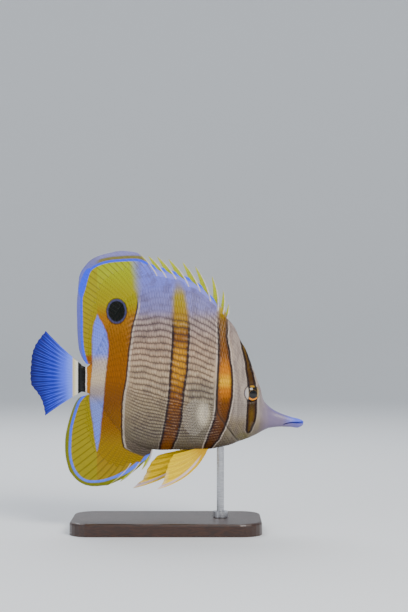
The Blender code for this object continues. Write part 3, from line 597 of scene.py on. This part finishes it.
# The eyes: flattened glossy balls turned a little to the front. The iris is silver behind, cream in
# front and crossed by the dark eye stripe, with orange crescents above and below a black pupil.
eye_wet, shader, place = new_material(
    "eye_wet", 0.08, Specular_IOR_Level=0.35, Coat_Weight=0.3, Coat_Roughness=0.03
)
x, y, z = place.parts()
ahead = (x - EYE[0]) * cos(EYE_TURN) - (abs(y) - EYE[1]) * sin(EYE_TURN)
up = z - EYE[2]
ring = ahead.away(up)
pupil = (ahead - 0.1).away(up + 0.5)
streak = noise(place, 1.6, 3.0)
iris = ahead.tints(
    (-4.6, 180, 174, 178), (-3.0, 206, 196, 184), (-2.2, 44, 30, 16), (2.2, 40, 28, 14),
    (3.0, 184, 160, 112), (4.6, 168, 156, 146),
).layers(
    ((190, 150, 0), up.between(3.3, 4.5, 0.2) * (1 - abs(ahead + 0.1).step(0.6, 1.8))),
    ((255, 172, 0), (1 - abs(pupil - 2.85).step(0.25, 0.6)) * (0 - up).step(2.0, 2.7)),
    ((190, 150, 60), (1 - abs(pupil - 2.5).step(0.05, 0.18)) * 0.35),
    ((30, 20, 20), (1 - streak.step(0.3, 0.5)) * 0.25),
    ((100, 94, 104), ring.step(4.1, 4.5) * 0.8),
    ((4, 4, 8), 1 - pupil.step(2.25, 2.45)),
)
feed(shader, Base_Color=iris)
for side, name in LEFT_AND_RIGHT:
    bm = bmesh.new()
    bmesh.ops.create_uvsphere(bm, u_segments=64, v_segments=40, radius=1)
    bmesh.ops.rotate(bm, verts=bm.verts, matrix=Matrix.Rotation(pi / 2, 3, "X"))
    bmesh.ops.scale(bm, verts=bm.verts, vec=Vector((EYE_RADIUS, EYE_DEPTH, EYE_RADIUS)) * MM)
    bmesh.ops.rotate(bm, verts=bm.verts, matrix=Matrix.Rotation(-side * EYE_TURN, 3, "Z"))
    bmesh.ops.translate(bm, verts=bm.verts, vec=Vector((EYE[0], side * EYE[1], EYE[2])) * MM)
    eyeball = finished("eyeball_" + name, bm)
    eyeball.data.materials.append(eye_wet)
    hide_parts("eye_" + name)


# The upright fins, along the back and behind the belly: thin scaled membranes over soft rays, led by
# stiff bony spines with a flag of yellow membrane behind each. Their roots stand in the skin.
ROOT_DEPTH = 0.9
# A spine's row is its foot along the fish, its tip, and the share of it that the membrane climbs.
DORSAL_SPINES = (
    (33.0, 34.1, 124.6, 0.12), (30.7, 31.1, 132.0, 0.28), (28.1, 24.8, 140.0, 0.24),
    (24.5, 15.4, 145.5, 0.32), (19.5, 8.5, 147.7, 0.43), (13.5, 0.8, 149.3, 0.47),
    (7.4, -5.5, 150.7, 0.52), (1.9, -10.5, 151.2, 0.58), (-3.0, -15.1, 152.1, 0.68),
)
ANAL_SPINES = ((-8.0, -13.8, 33.0, 0.25), (-11.0, -25.9, 26.4, 0.72), (-14.9, -32.2, 24.6, 0.97))
DORSAL_EDGE = (
    (-16.5, 152.6), (-20.1, 153.2), (-25.6, 153.5), (-31.1, 152.4), (-36.6, 151.0), (-39.3, 149.9),
    (-42.1, 148.2), (-44.3, 145.8), (-46.5, 143.0), (-47.9, 139.7), (-48.4, 135.9), (-48.7, 132.0),
    (-49.2, 126.5), (-49.2, 115.5), (-48.7, 104.5), (-47.9, 98.5), (-45.9, 93.8), (-44.0, 91.3),
)
ANAL_EDGE = (
    (-33.8, 24.5), (-36.6, 24.2), (-42.1, 24.2), (-45.9, 25.3), (-48.7, 27.0), (-51.4, 29.7),
    (-53.6, 33.0), (-54.7, 36.9), (-55.6, 41.2), (-55.8, 46.8), (-55.6, 51.2), (-54.7, 56.1),
    (-53.6, 60.5), (-52.0, 65.5), (-50.6, 69.0), (-48.7, 72.1), (-46.5, 73.7), (-44.6, 74.0),
)
DORSAL_LINE = (
    (-10.7, 146.6), (-14.6, 148.2), (-20.1, 148.5), (-25.6, 148.2), (-31.1, 147.7), (-36.6, 146.3),
    (-39.9, 144.7), (-42.9, 141.9), (-45.1, 137.5), (-46.5, 132.6), (-46.8, 126.5), (-46.7, 115.5),
    (-46.5, 104.5), (-45.9, 99.0), (-44.5, 93.5), (-43.2, 90.2),
)
ANAL_LINE = (
    (-9.1, 41.2), (-14.0, 38.2), (-16.8, 35.8), (-20.1, 33.3), (-23.4, 31.4), (-27.2, 29.7),
    (-31.1, 28.3), (-34.9, 27.2), (-39.3, 26.7), (-43.7, 27.0), (-46.5, 28.3), (-49.2, 30.8),
    (-51.2, 34.1), (-52.3, 37.4), (-53.1, 42.4), (-53.1, 46.8), (-52.8, 52.3), (-52.3, 56.7),
    (-51.4, 60.5), (-50.3, 64.4), (-49.2, 67.7), (-48.1, 70.4), (-46.5, 72.6), (-44.3, 74.8),
)


def line(points):
    """A smooth line through points, by the share of its length."""
    points = np.array(points, float)
    along = np.concatenate([[0], np.cumsum(np.linalg.norm(np.diff(points, axis=0), axis=1))])
    return smooth(np.column_stack([along / along[-1], points]))


class UprightFin:
    """The rays of a fin in the fish's middle plane, by ray number: spines first, then soft rays."""

    def __init__(self, edge, outward, spines, bow, base, rim, rays, spread):
        rows = [(x, tip_x, tip_z, bow, share) for x, tip_x, tip_z, share in spines]
        rim, steps = line(rim), np.linspace(*base, 60)
        foot = line(np.column_stack([steps, edge(steps)]))
        for i in range(rays):
            along = i / (rays - 1)
            rows.append((foot(along)[0], *rim(along**spread), bow * max(0, 1 - 2.2 * along), 1))
        self.edge, self.outward, self.spines, self.last = edge, outward, len(spines), len(rows) - 1
        self.row = smooth(np.column_stack([np.arange(len(rows)), rows]))

    def point(self, number, share):
        """A point of a ray, x and height, by its share of the ray from the root in the body to the tip."""
        row = self.row(number)
        root = np.stack([row[..., 0], self.edge(row[..., 0]) - self.outward * ROOT_DEPTH], axis=-1)
        chord = row[..., 1:3] - root
        across = np.stack([chord[..., 1], -chord[..., 0]], axis=-1) * self.outward
        share = np.asarray(share)[..., None]
        return root + chord * share + across * row[..., 3:4] * 4 * share * (1 - share)

    def course(self, number, share):
        """Points of one ray, and the way that it runs there."""
        number = np.full(len(share), float(number))
        spot = self.point(number, share)
        ahead = self.point(number, share + 0.01) - spot
        return spot, ahead / np.linalg.norm(ahead, axis=1)[:, None]


def upright(spot, side):
    """Points from their side view and how far each lies to the left."""
    return np.column_stack([spot[:, 0], side, spot[:, 1]])


def sideways(half):
    """Steps straight out to the left."""
    return np.column_stack([0 * half, half, 0 * half])


def mark(place, name):
    """The three numbers that a mesh keeps at its points."""
    return place.node("ShaderNodeAttribute", {"attribute_name": name}, None, "Vector").parts()


def leaf(name, columns, rows, place):
    """A thin closed sheet with two faces. place(u, v) gives the middle, the step to one face, and marks."""
    bm = bmesh.new()
    bmesh.ops.create_grid(bm, x_segments=columns, y_segments=rows, size=0.5)
    front = len(bm.verts)
    bmesh.ops.extrude_face_region(bm, geom=list(bm.faces), use_keep_orig=True)
    marks = bm.verts.layers.float_vector.new("marks")
    shares = np.array([spot.co[:2] for spot in bm.verts]) + 0.5
    middle, half, notes = place(shares[:, 0], shares[:, 1])
    side = np.where(np.arange(len(shares)) < front, 1.0, -1.0)[:, None]
    for spot, point, note in zip(bm.verts, (middle + half * side) * MM, notes):
        spot.co = point
        spot[marks] = note
    bmesh.ops.recalc_face_normals(bm, faces=bm.faces)
    return finished(name, bm)


def beyond(point, track):
    """How far points of the side view lie outside a line, in millimetres, and less than 0 inside."""
    track = line(track)(np.linspace(0, 1, 160))
    away = np.linalg.norm(point[:, None] - track[None], axis=2)
    near = np.clip(np.argmin(away, axis=1), 1, len(track) - 2)
    ahead = track[near + 1] - track[near - 1]
    off = point - track[near]
    turn = ahead[:, 0] * off[:, 1] - ahead[:, 1] * off[:, 0]
    return np.min(away, axis=1) * np.sign(turn)


WEB_TIP, WEB_ROOT, RIDGE = 0.14, 0.72, 0.13


def web(name, fin, first, last, per_ray, rows, track, soft_from):
    """A membrane from one ray to another: low ridges on the soft rays, and each forked near the rim."""
    def place(u, v):
        number = first + (last - first) * u
        share = np.where(number < soft_from, fin.row(np.minimum(number, last))[:, 4], 1)
        spot = fin.point(number, v * share)
        off = np.abs(number - np.round(number))
        fork = np.abs(off - 0.17 * ease(v, 0.45, 0.8))
        ridge = bump(fork, 0, 0.10) * np.where(number > soft_from - 0.5, 1, 0)
        half = WEB_TIP + WEB_ROOT * (1 - v) ** 2 + RIDGE * ridge * (1 - 0.7 * v)
        side = -fin.outward * beyond(spot, track) if track is not None else v * 10
        return upright(spot, 0 * u), sideways(half), np.column_stack([number, v, side])

    return leaf(name, round((last - first) * per_ray), rows, place)


def spine(name, fin, number):
    """One bony spine: a round rod that tapers to its tip."""
    def place(u, v):
        spot, ahead = fin.course(number, u)
        radius = (0.5 - 0.42 * u**1.5) * np.where(u > 0.97, 0.5, 1)
        out = np.cos(2 * pi * v) * radius
        behind = np.column_stack([-ahead[:, 1], ahead[:, 0]]) * out[:, None]
        return upright(spot + behind, np.sin(2 * pi * v) * radius * 1.15)

    return grid_object(name, 30, 12, place, wrapped=True)


def flag(name, fin, number, width):
    """The pennant of membrane behind a spine's free end."""
    def place(u, v):
        root = float(fin.row(float(number))[4]) * 0.62
        spot, ahead = fin.course(number, root + (0.985 - root) * v)
        behind = np.column_stack([-ahead[:, 1], ahead[:, 0]]) * fin.outward
        reach = width * np.minimum(1, 3.2 * v + 0.2) * (1 - v**1.6) ** 0.8
        spot = spot + behind * (u * reach)[:, None]
        return upright(spot, 0 * u), sideways(0.24 - 0.12 * u), np.column_stack([u, v, reach])

    return leaf(name, 6, 18, place)


dorsal = UprightFin(back_z, 1, DORSAL_SPINES, 0.075, (-5.0, -41.4), DORSAL_EDGE, 29, 0.92)
anal = UprightFin(belly_z, -1, ANAL_SPINES, 0.10, (-17.8, -41.4), ANAL_EDGE, 20, 0.95)
spiny_web = web("dorsal_web", dorsal, 0, 8.2, 10, 18, None, 9)
soft_dorsal = web("dorsal_soft", dorsal, 8.2, dorsal.last, 8, 56, DORSAL_LINE, 8)
anal_web = web("anal_web", anal, 0, anal.last, 8, 56, ANAL_LINE, 3)
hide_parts("dorsal_fin_spiny")
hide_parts("dorsal_fin_soft")
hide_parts("anal_fin")

bone, shader, place = new_material("spine_bone", 0.35, IOR=1.45)
streak = noise(place, 0.9, 2.0)
pale = streak.tints((0.3, 196, 190, 214), (0.7, 230, 220, 190))
feed(shader, Base_Color=pale, Roughness=0.26 + streak * 0.2)
pennant, shader, place = new_material("spine_flag", 0.4, IOR=1.4)
across, along, _ = mark(place, "marks")
grain = noise(place, 1.3, 3.0)
green = along.tints((0, 150, 150, 20), (0.4, 178, 186, 0), (1, 196, 200, 40)).layers(
    ((120, 120, 0), grain.step(0.45, 0.7) * 0.35),
    ((150, 140, 190), (1 - across.step(0.0, 0.16)) * 0.7),
)
feed(shader, Base_Color=green, Roughness=0.3 + grain * 0.25, Normal=relief(grain, 0.3, 0.0002))
for fin, name, widths in (
    (dorsal, "dorsal", (1.7, 2.2, 3.0, 3.5, 3.7, 3.6, 3.4, 3.0, 1.7)),
    (anal, "anal", (2.4, 2.4, 1.0)),
):
    for number, width in enumerate(widths):
        rod = spine(f"{name}_spine_{number + 1}", fin, number)
        rod.data.materials.append(bone)
        pane = flag(f"{name}_flag_{number + 1}", fin, number, width)
        pane.data.materials.append(pennant)

fin_skin, shader, place = new_material("fin_skin", 0.38, Specular_IOR_Level=0.25)
number, along, outside = mark(place, "marks")
x, _, z = place.parts()
ray = 1 - abs((number + 0.5).math("FRACT") - 0.5).step(0.04, 0.2)
corner = (1 - x.step(-44.5, -41.0)) * z.step(127, 133) * (1 - z.step(144, 148))
wide = 0.62 + corner * 1.2 + x.step(-30, -24) * (1 - z.step(40, 60)) * 0.35
outer = z.tints(
    (22, 138, 138, 20), (60, 134, 136, 30), (72, 120, 130, 90), (100, 112, 116, 190),
    (140, 120, 124, 200), (154, 140, 136, 170),
)
olive = x.step(-40, -36) * z.step(140, 146)
blue = z.tints((24, 104, 138, 255), (70, 66, 104, 255), (150, 62, 92, 250))
grain = noise(place, 1.2, 4.0)
colour = markings_and_painted_light(place).layers(
    ((112, 96, 0), ray * along.step(0.1, 0.4) * 0.5),
    (outer, outside.step(0.2, 0.6)),
    ((140, 132, 10), olive * outside.between(0.7, 2.4, 0.3) * 0.9),
    ((150, 148, 200), olive * outside.step(2.4, 3.2) * 0.8),
    (blue, 1 - abs(outside).step(wide - 0.25, wide + 0.25)),
    ((90, 84, 60), grain.step(0.5, 0.7) * 0.18),
)
feed(shader, Base_Color=colour, Roughness=0.3 + grain * 0.2, Normal=relief(ray, 0.3, 0.0003))
soft_dorsal.data.materials.append(fin_skin)
anal_web.data.materials.append(fin_skin)

web_skin, shader, place = new_material("web_skin", 0.38, Specular_IOR_Level=0.25)
_, along, _ = mark(place, "marks")
x, _, _ = place.parts()
grain = noise(place, 1.2, 4.0)
colour = markings_and_painted_light(place).layers(
    ((150, 154, 236), along.step(0.0, 0.5) * (1 - x.step(25, 29)) * 0.8),
    ((70, 104, 250), along.step(0.66, 0.86) * (1 - x.step(26, 29))),
)
feed(shader, Base_Color=colour, Roughness=0.3 + grain * 0.2, Normal=relief(grain, 0.3, 0.0002))
spiny_web.data.materials.append(web_skin)


# The scales: thin rounded plates that overlap towards the tail and towards the fins' edges, in wavy
# rows. Each root is sunk in what carries it and the free edge lifts off it; they are small on the head
# and on the fins. One plate is repeated by an array, then laid on the fish copy by copy.
PLATE_LIFT, PLATE_ROOT, PLATE_CAMBER, PLATE_LENGTH, JITTER = 0.24, 0.05, 0.05, 1.95, 0.06
FIN_ROW, FIN_PITCH = 0.75, 1.25


def body_roots():
    """Roots of one side's scales: x, level from belly to back, pitch, half a plate's width in levels."""
    roots = []
    for first, last, pitch, rows in (
        (-46.0, -36.0, 1.0, 14), (-36.0, -25.0, 1.25, 24), (-25.0, 35.0, 1.4, 34), (35.0, 49.5, 0.95, 40),
    ):
        for i in range(round((last - first) / pitch)):
            for j in range(rows):
                roots.append((first + (i + 1 + 0.5 * (j % 2)) * pitch, (j + 0.5) / rows, pitch, 0.62 / rows))
    x, level, pitch, _ = np.array(roots).T
    z = skin_point(x, np.arccos(1 - 2 * level) / (2 * pi))[:, 2]
    cover = x - gill_edge(z)
    clear_of_cover = (cover < -0.9 * pitch - 0.5) | (cover > 1.15 * pitch + 0.7) | (z > 95) | (z < 46)
    return np.array(roots)[(eye_ring(x, z) > 6.3) & ((z > 60) | (x < 46)) & clear_of_cover]


def body_place(side):
    """Where a scale's points lie on one flank, in rows that wander a little."""
    def place(x, level):
        level = np.clip(level + 0.0035 * np.sin(0.42 * x + 11 * level), 0.0005, 0.9995)
        turn = np.arccos(1 - 2 * level) / (2 * pi)
        return skin_point(x, turn if side > 0 else 1 - turn)

    return place


def fin_roots(fin, first, last, covered):
    """Roots of one side's scales on a fin: less its distance out along the ray, and the ray's number."""
    roots = []
    for j, number in enumerate(np.arange(first, last, FIN_ROW)):
        foot, tip = fin.point(np.array([number, number]), np.array([0.0, 1.0]))
        length = np.linalg.norm(tip - foot)
        until = covered * length * (fin.row(number)[4] * 0.8 if number < fin.spines else 1)
        # The rays spread as they go out, so the plates do too, up to where a row is left out.
        for i in range(int(until / FIN_PITCH)):
            out = (i + 0.5 * (j % 2)) * FIN_PITCH
            roots.append((-out, number, 1.2 * (1 - 0.3 * out / length), 0.5))
    return np.array(roots)


def fin_place(fin, side):
    """Where a scale's points lie on one face of a fin's membrane."""
    def place(out, number):
        foot = fin.point(number, np.zeros(len(number)))
        tip = fin.point(number, np.ones(len(number)))
        share = -out / np.linalg.norm(tip - foot, axis=1)
        return upright(fin.point(number, share), side * (WEB_TIP + WEB_ROOT * (1 - share) ** 2))

    return place


def scale_coat(name, side, roots, place, seed):
    """One side's scales: one rounded plate for each root, shaped and set down by place(x, level)."""
    rng = np.random.default_rng(seed)
    tone = rng.random(len(roots))
    roots[:, :2] += rng.normal(0, JITTER, (len(roots), 2)) * roots[:, 2:]
    bm = bmesh.new()
    bmesh.ops.create_grid(bm, x_segments=4, y_segments=4, size=0.5)
    bmesh.ops.translate(bm, verts=bm.verts, vec=(0.5, 0, 0))
    bmesh.ops.scale(bm, verts=bm.verts, vec=(0.9, 1, 1))
    coat = finished(name, bm)
    row = coat.modifiers.new("Row", "ARRAY")
    row.use_relative_offset, row.use_constant_offset = False, True
    row.constant_offset_displace = (1, 0, 0)
    row.count = len(roots)
    bpy.context.view_layer.update()
    coat.data = bpy.data.meshes.new_from_object(coat.evaluated_get(bpy.context.evaluated_depsgraph_get()))
    coat.modifiers.clear()
    flat = np.zeros(len(coat.data.vertices) * 3)
    coat.data.vertices.foreach_get("co", flat)
    flat = flat.reshape(-1, 3)
    which = np.clip(np.floor(flat[:, 0] + 0.02).astype(int), 0, len(roots) - 1)
    along = (flat[:, 0] - which) / 0.9
    across = flat[:, 1] * 2
    ahead, level, pitch, width = roots[which].T
    # A plate narrows to a round free edge, and its last row turns down to what is below.
    edge = np.minimum(along / 0.75, 1)
    tip = np.sqrt(np.clip(1 - ((along - 0.3) / 0.85) ** 2, 0, 1))
    narrow = np.where(along < 0.3, 0.85 + 0.5 * along, tip)
    reach = pitch * (PLATE_LENGTH * edge * (1 - 0.16 * across**2 * edge) + 0.04 * ease(along, 0.75, 1))
    at, level = ahead + pitch * 0.9 - reach, level + across * width * narrow
    base = place(at, level)
    normal = np.cross(place(at + 0.05, level) - base, place(at, level + width * 0.02) - base)
    normal /= np.linalg.norm(normal, axis=1)[:, None] + 1e-12
    normal *= np.where(normal[:, 1:2] * side < 0, -1, 1)
    lift = PLATE_LIFT * edge - PLATE_ROOT - PLATE_CAMBER * across**2 * (1 - 0.3 * edge)
    lift = np.where(along > 0.9, -0.03, lift * np.clip(pitch / 1.5, 0.5, 1) ** 1.5)
    coat.data.vertices.foreach_set("co", ((base + normal * lift[:, None]) * MM).ravel())
    marks = coat.data.attributes.new("plate", "FLOAT_VECTOR", "POINT")
    marks.data.foreach_set("vector", np.stack([along, across, tone[which]], axis=1).ravel())
    # The texture patch of a plate lies at its root's place on the unwrapped body or fin.
    low, high = roots[:, :2].min(axis=0), roots[:, :2].max(axis=0)
    unwrapped = 0.02 + 0.96 * (roots[:, :2] - low) / (high - low)
    spread = unwrapped[which] + np.column_stack([along * 0.003, across * 0.0015])
    corner = np.zeros(len(coat.data.loops), int)
    coat.data.loops.foreach_get("vertex_index", corner)
    coat.data.uv_layers.new(name="OFBake").data.foreach_set("uv", spread[corner].ravel())
    coat.data.update()
    if coat.data.polygons[len(coat.data.polygons) // 2].normal.y * side < 0:
        coat.data.flip_normals()
    coat.data.shade_smooth()
    return coat


pearl_scale, shader, place = new_material(
    "pearl_scale", 0.4, Specular_IOR_Level=0.16, Coat_Weight=0.05, Coat_Roughness=0.25
)
along, across, tone = mark(place, "plate")
x, _, z = place.parts()
rows_dark = abs(across).step(0.3, 0.95)
flank = (1 - x.step(27, 31)) * (1 - z.step(114, 122)) * x.step(-23, -17) * z.step(47, 54)
flank = flank * (0.1 + 0.9 * ((x - 19.0) / 6.5).away((z - 63.5) / 11.0).step(0.6, 1.1))
colour = markings_and_painted_light(place).layers(
    ((72, 56, 66), rows_dark * flank * 0.75),
    ((104, 84, 84), along.step(0.62, 0.78) * flank * 0.3),
    ((70, 44, 20), rows_dark * (1 - flank) * 0.16),
    # a painted highlight down the middle of each plate, stronger on some plates than others
    ((255, 246, 228), (1 - abs(across).step(0.0, 0.5)) * tone * flank * 0.12),
)
feed(shader, Base_Color=colour, Roughness=0.38 + tone * 0.12)
for side, name in LEFT_AND_RIGHT:
    coats = [scale_coat("scales_" + name, side, body_roots(), body_place(side), 5 + side)]
    for fin, fin_name, first, covered in ((dorsal, "dorsal", 0.6, 0.56), (anal, "anal", 0.6, 0.5)):
        coats.append(scale_coat(
            f"{fin_name}_scales_{name}", side, fin_roots(fin, first, fin.last - 0.6, covered),
            fin_place(fin, side), 8 + side,
        ))
    for coat in coats:
        coat.data.materials.append(pearl_scale)


# The tail fin: a fan of branched rays under a thin blue membrane, pale at its root behind the black bar
# of the stalk, with a slight sweep to the left.
TAIL_EDGE = (
    (-66.8, 109.5), (-69.0, 106.7), (-71.8, 102.9), (-74.0, 97.4), (-74.8, 90.8), (-75.1, 84.2),
    (-74.5, 79.8), (-71.8, 76.2), (-69.0, 71.5), (-67.7, 67.1), (-67.1, 62.7),
)
TAIL_RAYS, TAIL_SWEEP = 17, 3.2
TAIL_ROOT, TAIL_ROOT_TOP, TAIL_ROOT_LOW = -46.9, 91.0, 76.0
tail_rim = line(TAIL_EDGE)


def tail_place(u, v):
    """Points of the tail fin by ray, from the top one down, and out along it."""
    height = TAIL_ROOT_TOP + (TAIL_ROOT_LOW - TAIL_ROOT_TOP) * u
    root = np.column_stack([np.full(len(u), TAIL_ROOT), height])
    chord = tail_rim(u) - root
    flare = np.column_stack([-chord[:, 1], chord[:, 0]]) * ((0.5 - u) * 0.12 * v * (1 - v))[:, None]
    number = u * (TAIL_RAYS - 1)
    off = np.abs(number - np.round(number))
    ridge = bump(np.abs(off - 0.2 * ease(v, 0.3, 0.8)), 0, 0.1)
    half = WEB_TIP + 1.3 * (1 - v) ** 3 + 0.16 * ridge * (1 - 0.6 * v)
    side = TAIL_SWEEP * v**2 * (0.4 + 0.6 * (2 * u - 1) ** 2) + 0.12 * np.sin(number * 2 * pi) * v
    # Between the rays the rim is a little ragged.
    spot = root + chord * v[:, None] + flare
    spot = spot - chord * (0.012 * (1 - bump(off, 0, 0.3)) * ease(v, 0.7, 1))[:, None]
    return upright(spot, side), sideways(half), np.column_stack([number, v, ridge])


tail = leaf("tail_fan", (TAIL_RAYS - 1) * 10, 50, tail_place)
tail_blue, shader, place = new_material("tail_blue", 0.36, Specular_IOR_Level=0.25)
_, along, ridge = mark(place, "marks")
x, _, _ = place.parts()
dark = (1 - ridge.step(0.1, 0.6)) * along.step(0.25, 0.6)
light = ridge.step(0.5, 0.95) * along.step(0.2, 0.5) * (1 - along.step(0.8, 1.0))
colour = (0 - x).tints(
    (47, 10, 10, 16), (48.4, 14, 12, 18), (48.9, 238, 236, 228), (50.0, 232, 226, 200),
    (51.0, 220, 206, 160), (52.2, 134, 158, 255), (57, 100, 122, 252), (63, 56, 70, 218),
    (69, 40, 46, 168), (76, 30, 36, 130),
).layers(((18, 24, 96), dark * 0.55), ((108, 130, 255), light * 0.5))
grain = noise(place, 1.2, 4.0)
feed(shader, Base_Color=colour, Roughness=0.3 + grain * 0.2, Normal=relief(ridge, 0.25, 0.0003))
tail.data.materials.append(tail_blue)
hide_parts("tail_fin")


# The paired fins: clear pectorals held a little off the flanks, and broad yellow pelvics with lilac
# streaks, each led by a strong front ray. Every fan grows from a short root in the skin.
PECTORAL_RAYS, PELVIC_RAYS, FAN_TIP, PELVIC_OUT = 13, 6, 0.12, 2.6


def fan(name, roots, tips, columns, rows, root_half, rays, bulge, bow):
    """A forked and ridged fin between a line of roots and its outer edge. bulge lifts all of it, and bow
    its front ray most."""
    def place(u, v):
        root, tip = roots(u), tips(u)
        shape = (np.array(bulge) + np.array(bow) * (1 - u)[:, None]) * (4 * v * (1 - v))[:, None]
        spot = root + (tip - root) * v[:, None] + shape
        ahead, behind = np.minimum(u + 0.02, 1), np.maximum(u - 0.02, 0)
        along = tips(ahead) - tips(behind) + roots(ahead) - roots(behind)
        normal = np.cross(tip - root, along)
        normal /= np.linalg.norm(normal, axis=1)[:, None]
        number = u * rays
        off = np.abs(number - np.round(number))
        ridge = bump(np.abs(off - 0.18 * ease(v, 0.5, 0.9)), 0, 0.12)
        half = FAN_TIP + (root_half - FAN_TIP) * (1 - v) ** 2 + RIDGE * ridge * (1 - 0.7 * v)
        spot = spot + normal * (0.14 * np.sin(number * 2 * pi) * v)[:, None]
        spot = spot - (tip - root) * (0.02 * (1 - bump(off, 0, 0.3)) * ease(v, 0.8, 1))[:, None]
        return spot, normal * half[:, None], np.column_stack([number, v, ridge])

    return leaf(name, columns, rows, place)


pectoral_rim = line((
    (16.2, 73.0, 13.0), (11.8, 70.4, 14.4), (9.4, 65.5, 15.4), (9.1, 60.0, 15.8),
    (11.3, 55.2, 15.6), (15.7, 53.0, 14.6), (19.5, 55.6, 13.0),
))
pelvic_rims = {
    -1: line((
        (-4.7, 23.9, 13.4), (-2.5, 26.1, 12.6), (-1.4, 28.6, 11.6), (-0.3, 32.5, 9.8), (0.8, 36.0, 7.8),
        (2.5, 39.9, 5.4), (4.1, 42.0, 3.8),
    )),
    1: line((
        (-19.0, 22.0, 8.6), (-16.2, 24.8, 8.2), (-14.0, 26.4, 7.8), (-12.7, 28.6, 7.2), (-11.3, 31.9, 6.4),
        (-9.6, 35.2, 5.6), (-7.4, 38.2, 4.6), (-4.7, 40.7, 3.8), (-1.4, 41.8, 3.4),
    )),
}


def held(rim, side):
    """A fan's outer edge on one side of the fish."""
    def tips(u):
        edge = rim(u)
        return np.column_stack([edge[:, 0], side * edge[:, 2], edge[:, 1]])

    return tips


def pectoral_roots(side):
    """Roots on the flank behind the gill cover, just under its surface."""
    def roots(u):
        x, z = 22.8 - 0.5 * u, 70.0 - 7.2 * u
        return np.column_stack([x, side * (section_half(x, z) - 0.3), z])

    return roots


def pelvic_roots(side, front, rear):
    """Roots along the breast, at the height where the body is as thick as the two fins stand apart."""
    def roots(u):
        x = front + (rear - front) * u
        low, high = belly_z(x), widest_z(x)
        for _ in range(20):
            middle = (low + high) / 2
            inside = section_half(x, middle) < PELVIC_OUT
            low, high = np.where(inside, middle, low), np.where(inside, high, middle)
        return np.column_stack([x, np.full(len(u), side * PELVIC_OUT), low + 0.3])

    return roots


clear_fin, shader, place = new_material("clear_fin", 0.25, IOR=1.38)
_, along, ridge = mark(place, "marks")
feed(
    shader, Base_Color=ridge.tints((0.0, 206, 200, 190), (1.0, 168, 156, 140)),
    Alpha=0.06 + ridge * 0.16 + (1 - along.step(0.0, 0.2)) * 0.4,
)
yellow_fin, shader, place = new_material("yellow_fin", 0.4, Specular_IOR_Level=0.15)
number, along, ridge = mark(place, "marks")
grain = noise(place, 1.2, 4.0)
streak = 1 - abs(number - 2.0 + along * 1.6).step(0.15, 0.5)
colour = along.tints((0, 212, 172, 0), (0.5, 242, 212, 0), (1, 246, 216, 0)).layers(
    ((190, 150, 0), (1 - ridge.step(0.05, 0.5)) * 0.35),
    ((226, 206, 226), streak * along.step(0.12, 0.35) * 0.8),
    ((236, 224, 236), along.step(0.9, 1.0) * (1 - number.step(2.0, 3.5)) * 0.25),
    ((170, 130, 0), grain.step(0.5, 0.72) * 0.25),
)
feed(shader, Base_Color=colour, Roughness=0.32 + grain * 0.2, Normal=relief(ridge, 0.25, 0.0003))
for side, name in LEFT_AND_RIGHT:
    vane = fan(
        "pectoral_" + name, pectoral_roots(side), held(pectoral_rim, side),
        PECTORAL_RAYS * 8, 40, 0.45, PECTORAL_RAYS, (0, side * 0.9, 0), (0, 0, 0),
    )
    vane.data.materials.append(clear_fin)
    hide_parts("pectoral_fin_" + name)
    breast = (22.8, 17.4) if side < 0 else (18.6, 13.4)
    vane = fan(
        "pelvic_" + name, pelvic_roots(side, *breast), held(pelvic_rims[side], side),
        PELVIC_RAYS * 16, 60, 0.7, PELVIC_RAYS, (0, side * 0.5, 0), (3.3, 0, -3.0),
    )
    vane.data.materials.append(yellow_fin)
    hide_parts("pelvic_fin_" + name)


# The display stand: a dark wooden base with eased edges, and a steel rod that rises from a steel collar
# to the breast. They keep the frame's shapes and get their grain and brushing here.
base_wood, shader, place = new_material("base_wood", 0.4, Coat_Weight=0.3, Coat_Roughness=0.2, IOR=1.5)
long_way = stretched(place, (0.012, 0.16, 0.16))
fibre = noise(long_way, 28.0, 3.0)
rings = (noise(long_way, 3.0, 6.0) * 9.0).math("FRACT")
wood = rings.tints((0.0, 58, 36, 24), (0.6, 88, 56, 36), (1.0, 62, 38, 26))
wood = wood.over((38, 22, 14), fibre.step(0.5, 0.72) * 0.6)
feed(shader, Base_Color=wood, Roughness=0.32 + fibre * 0.2, Normal=relief(fibre, 0.2, 0.0002))
brushed, shader, place = new_material("brushed_steel", 0.3, Metallic=1.0)
hair = noise(stretched(place, (0.3, 0.3, 6.0)), 1.0, 2.0)
steel = hair.tints((0.3, 186, 186, 190), (0.7, 214, 214, 216))
feed(shader, Base_Color=steel, Roughness=0.2 + hair * 0.2)
for name, finish in (("stand_base", base_wood), ("stand_rod", brushed), ("stand_collar", brushed)):
    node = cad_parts[name]
    node.data.materials.clear()
    node.data.materials.append(finish)
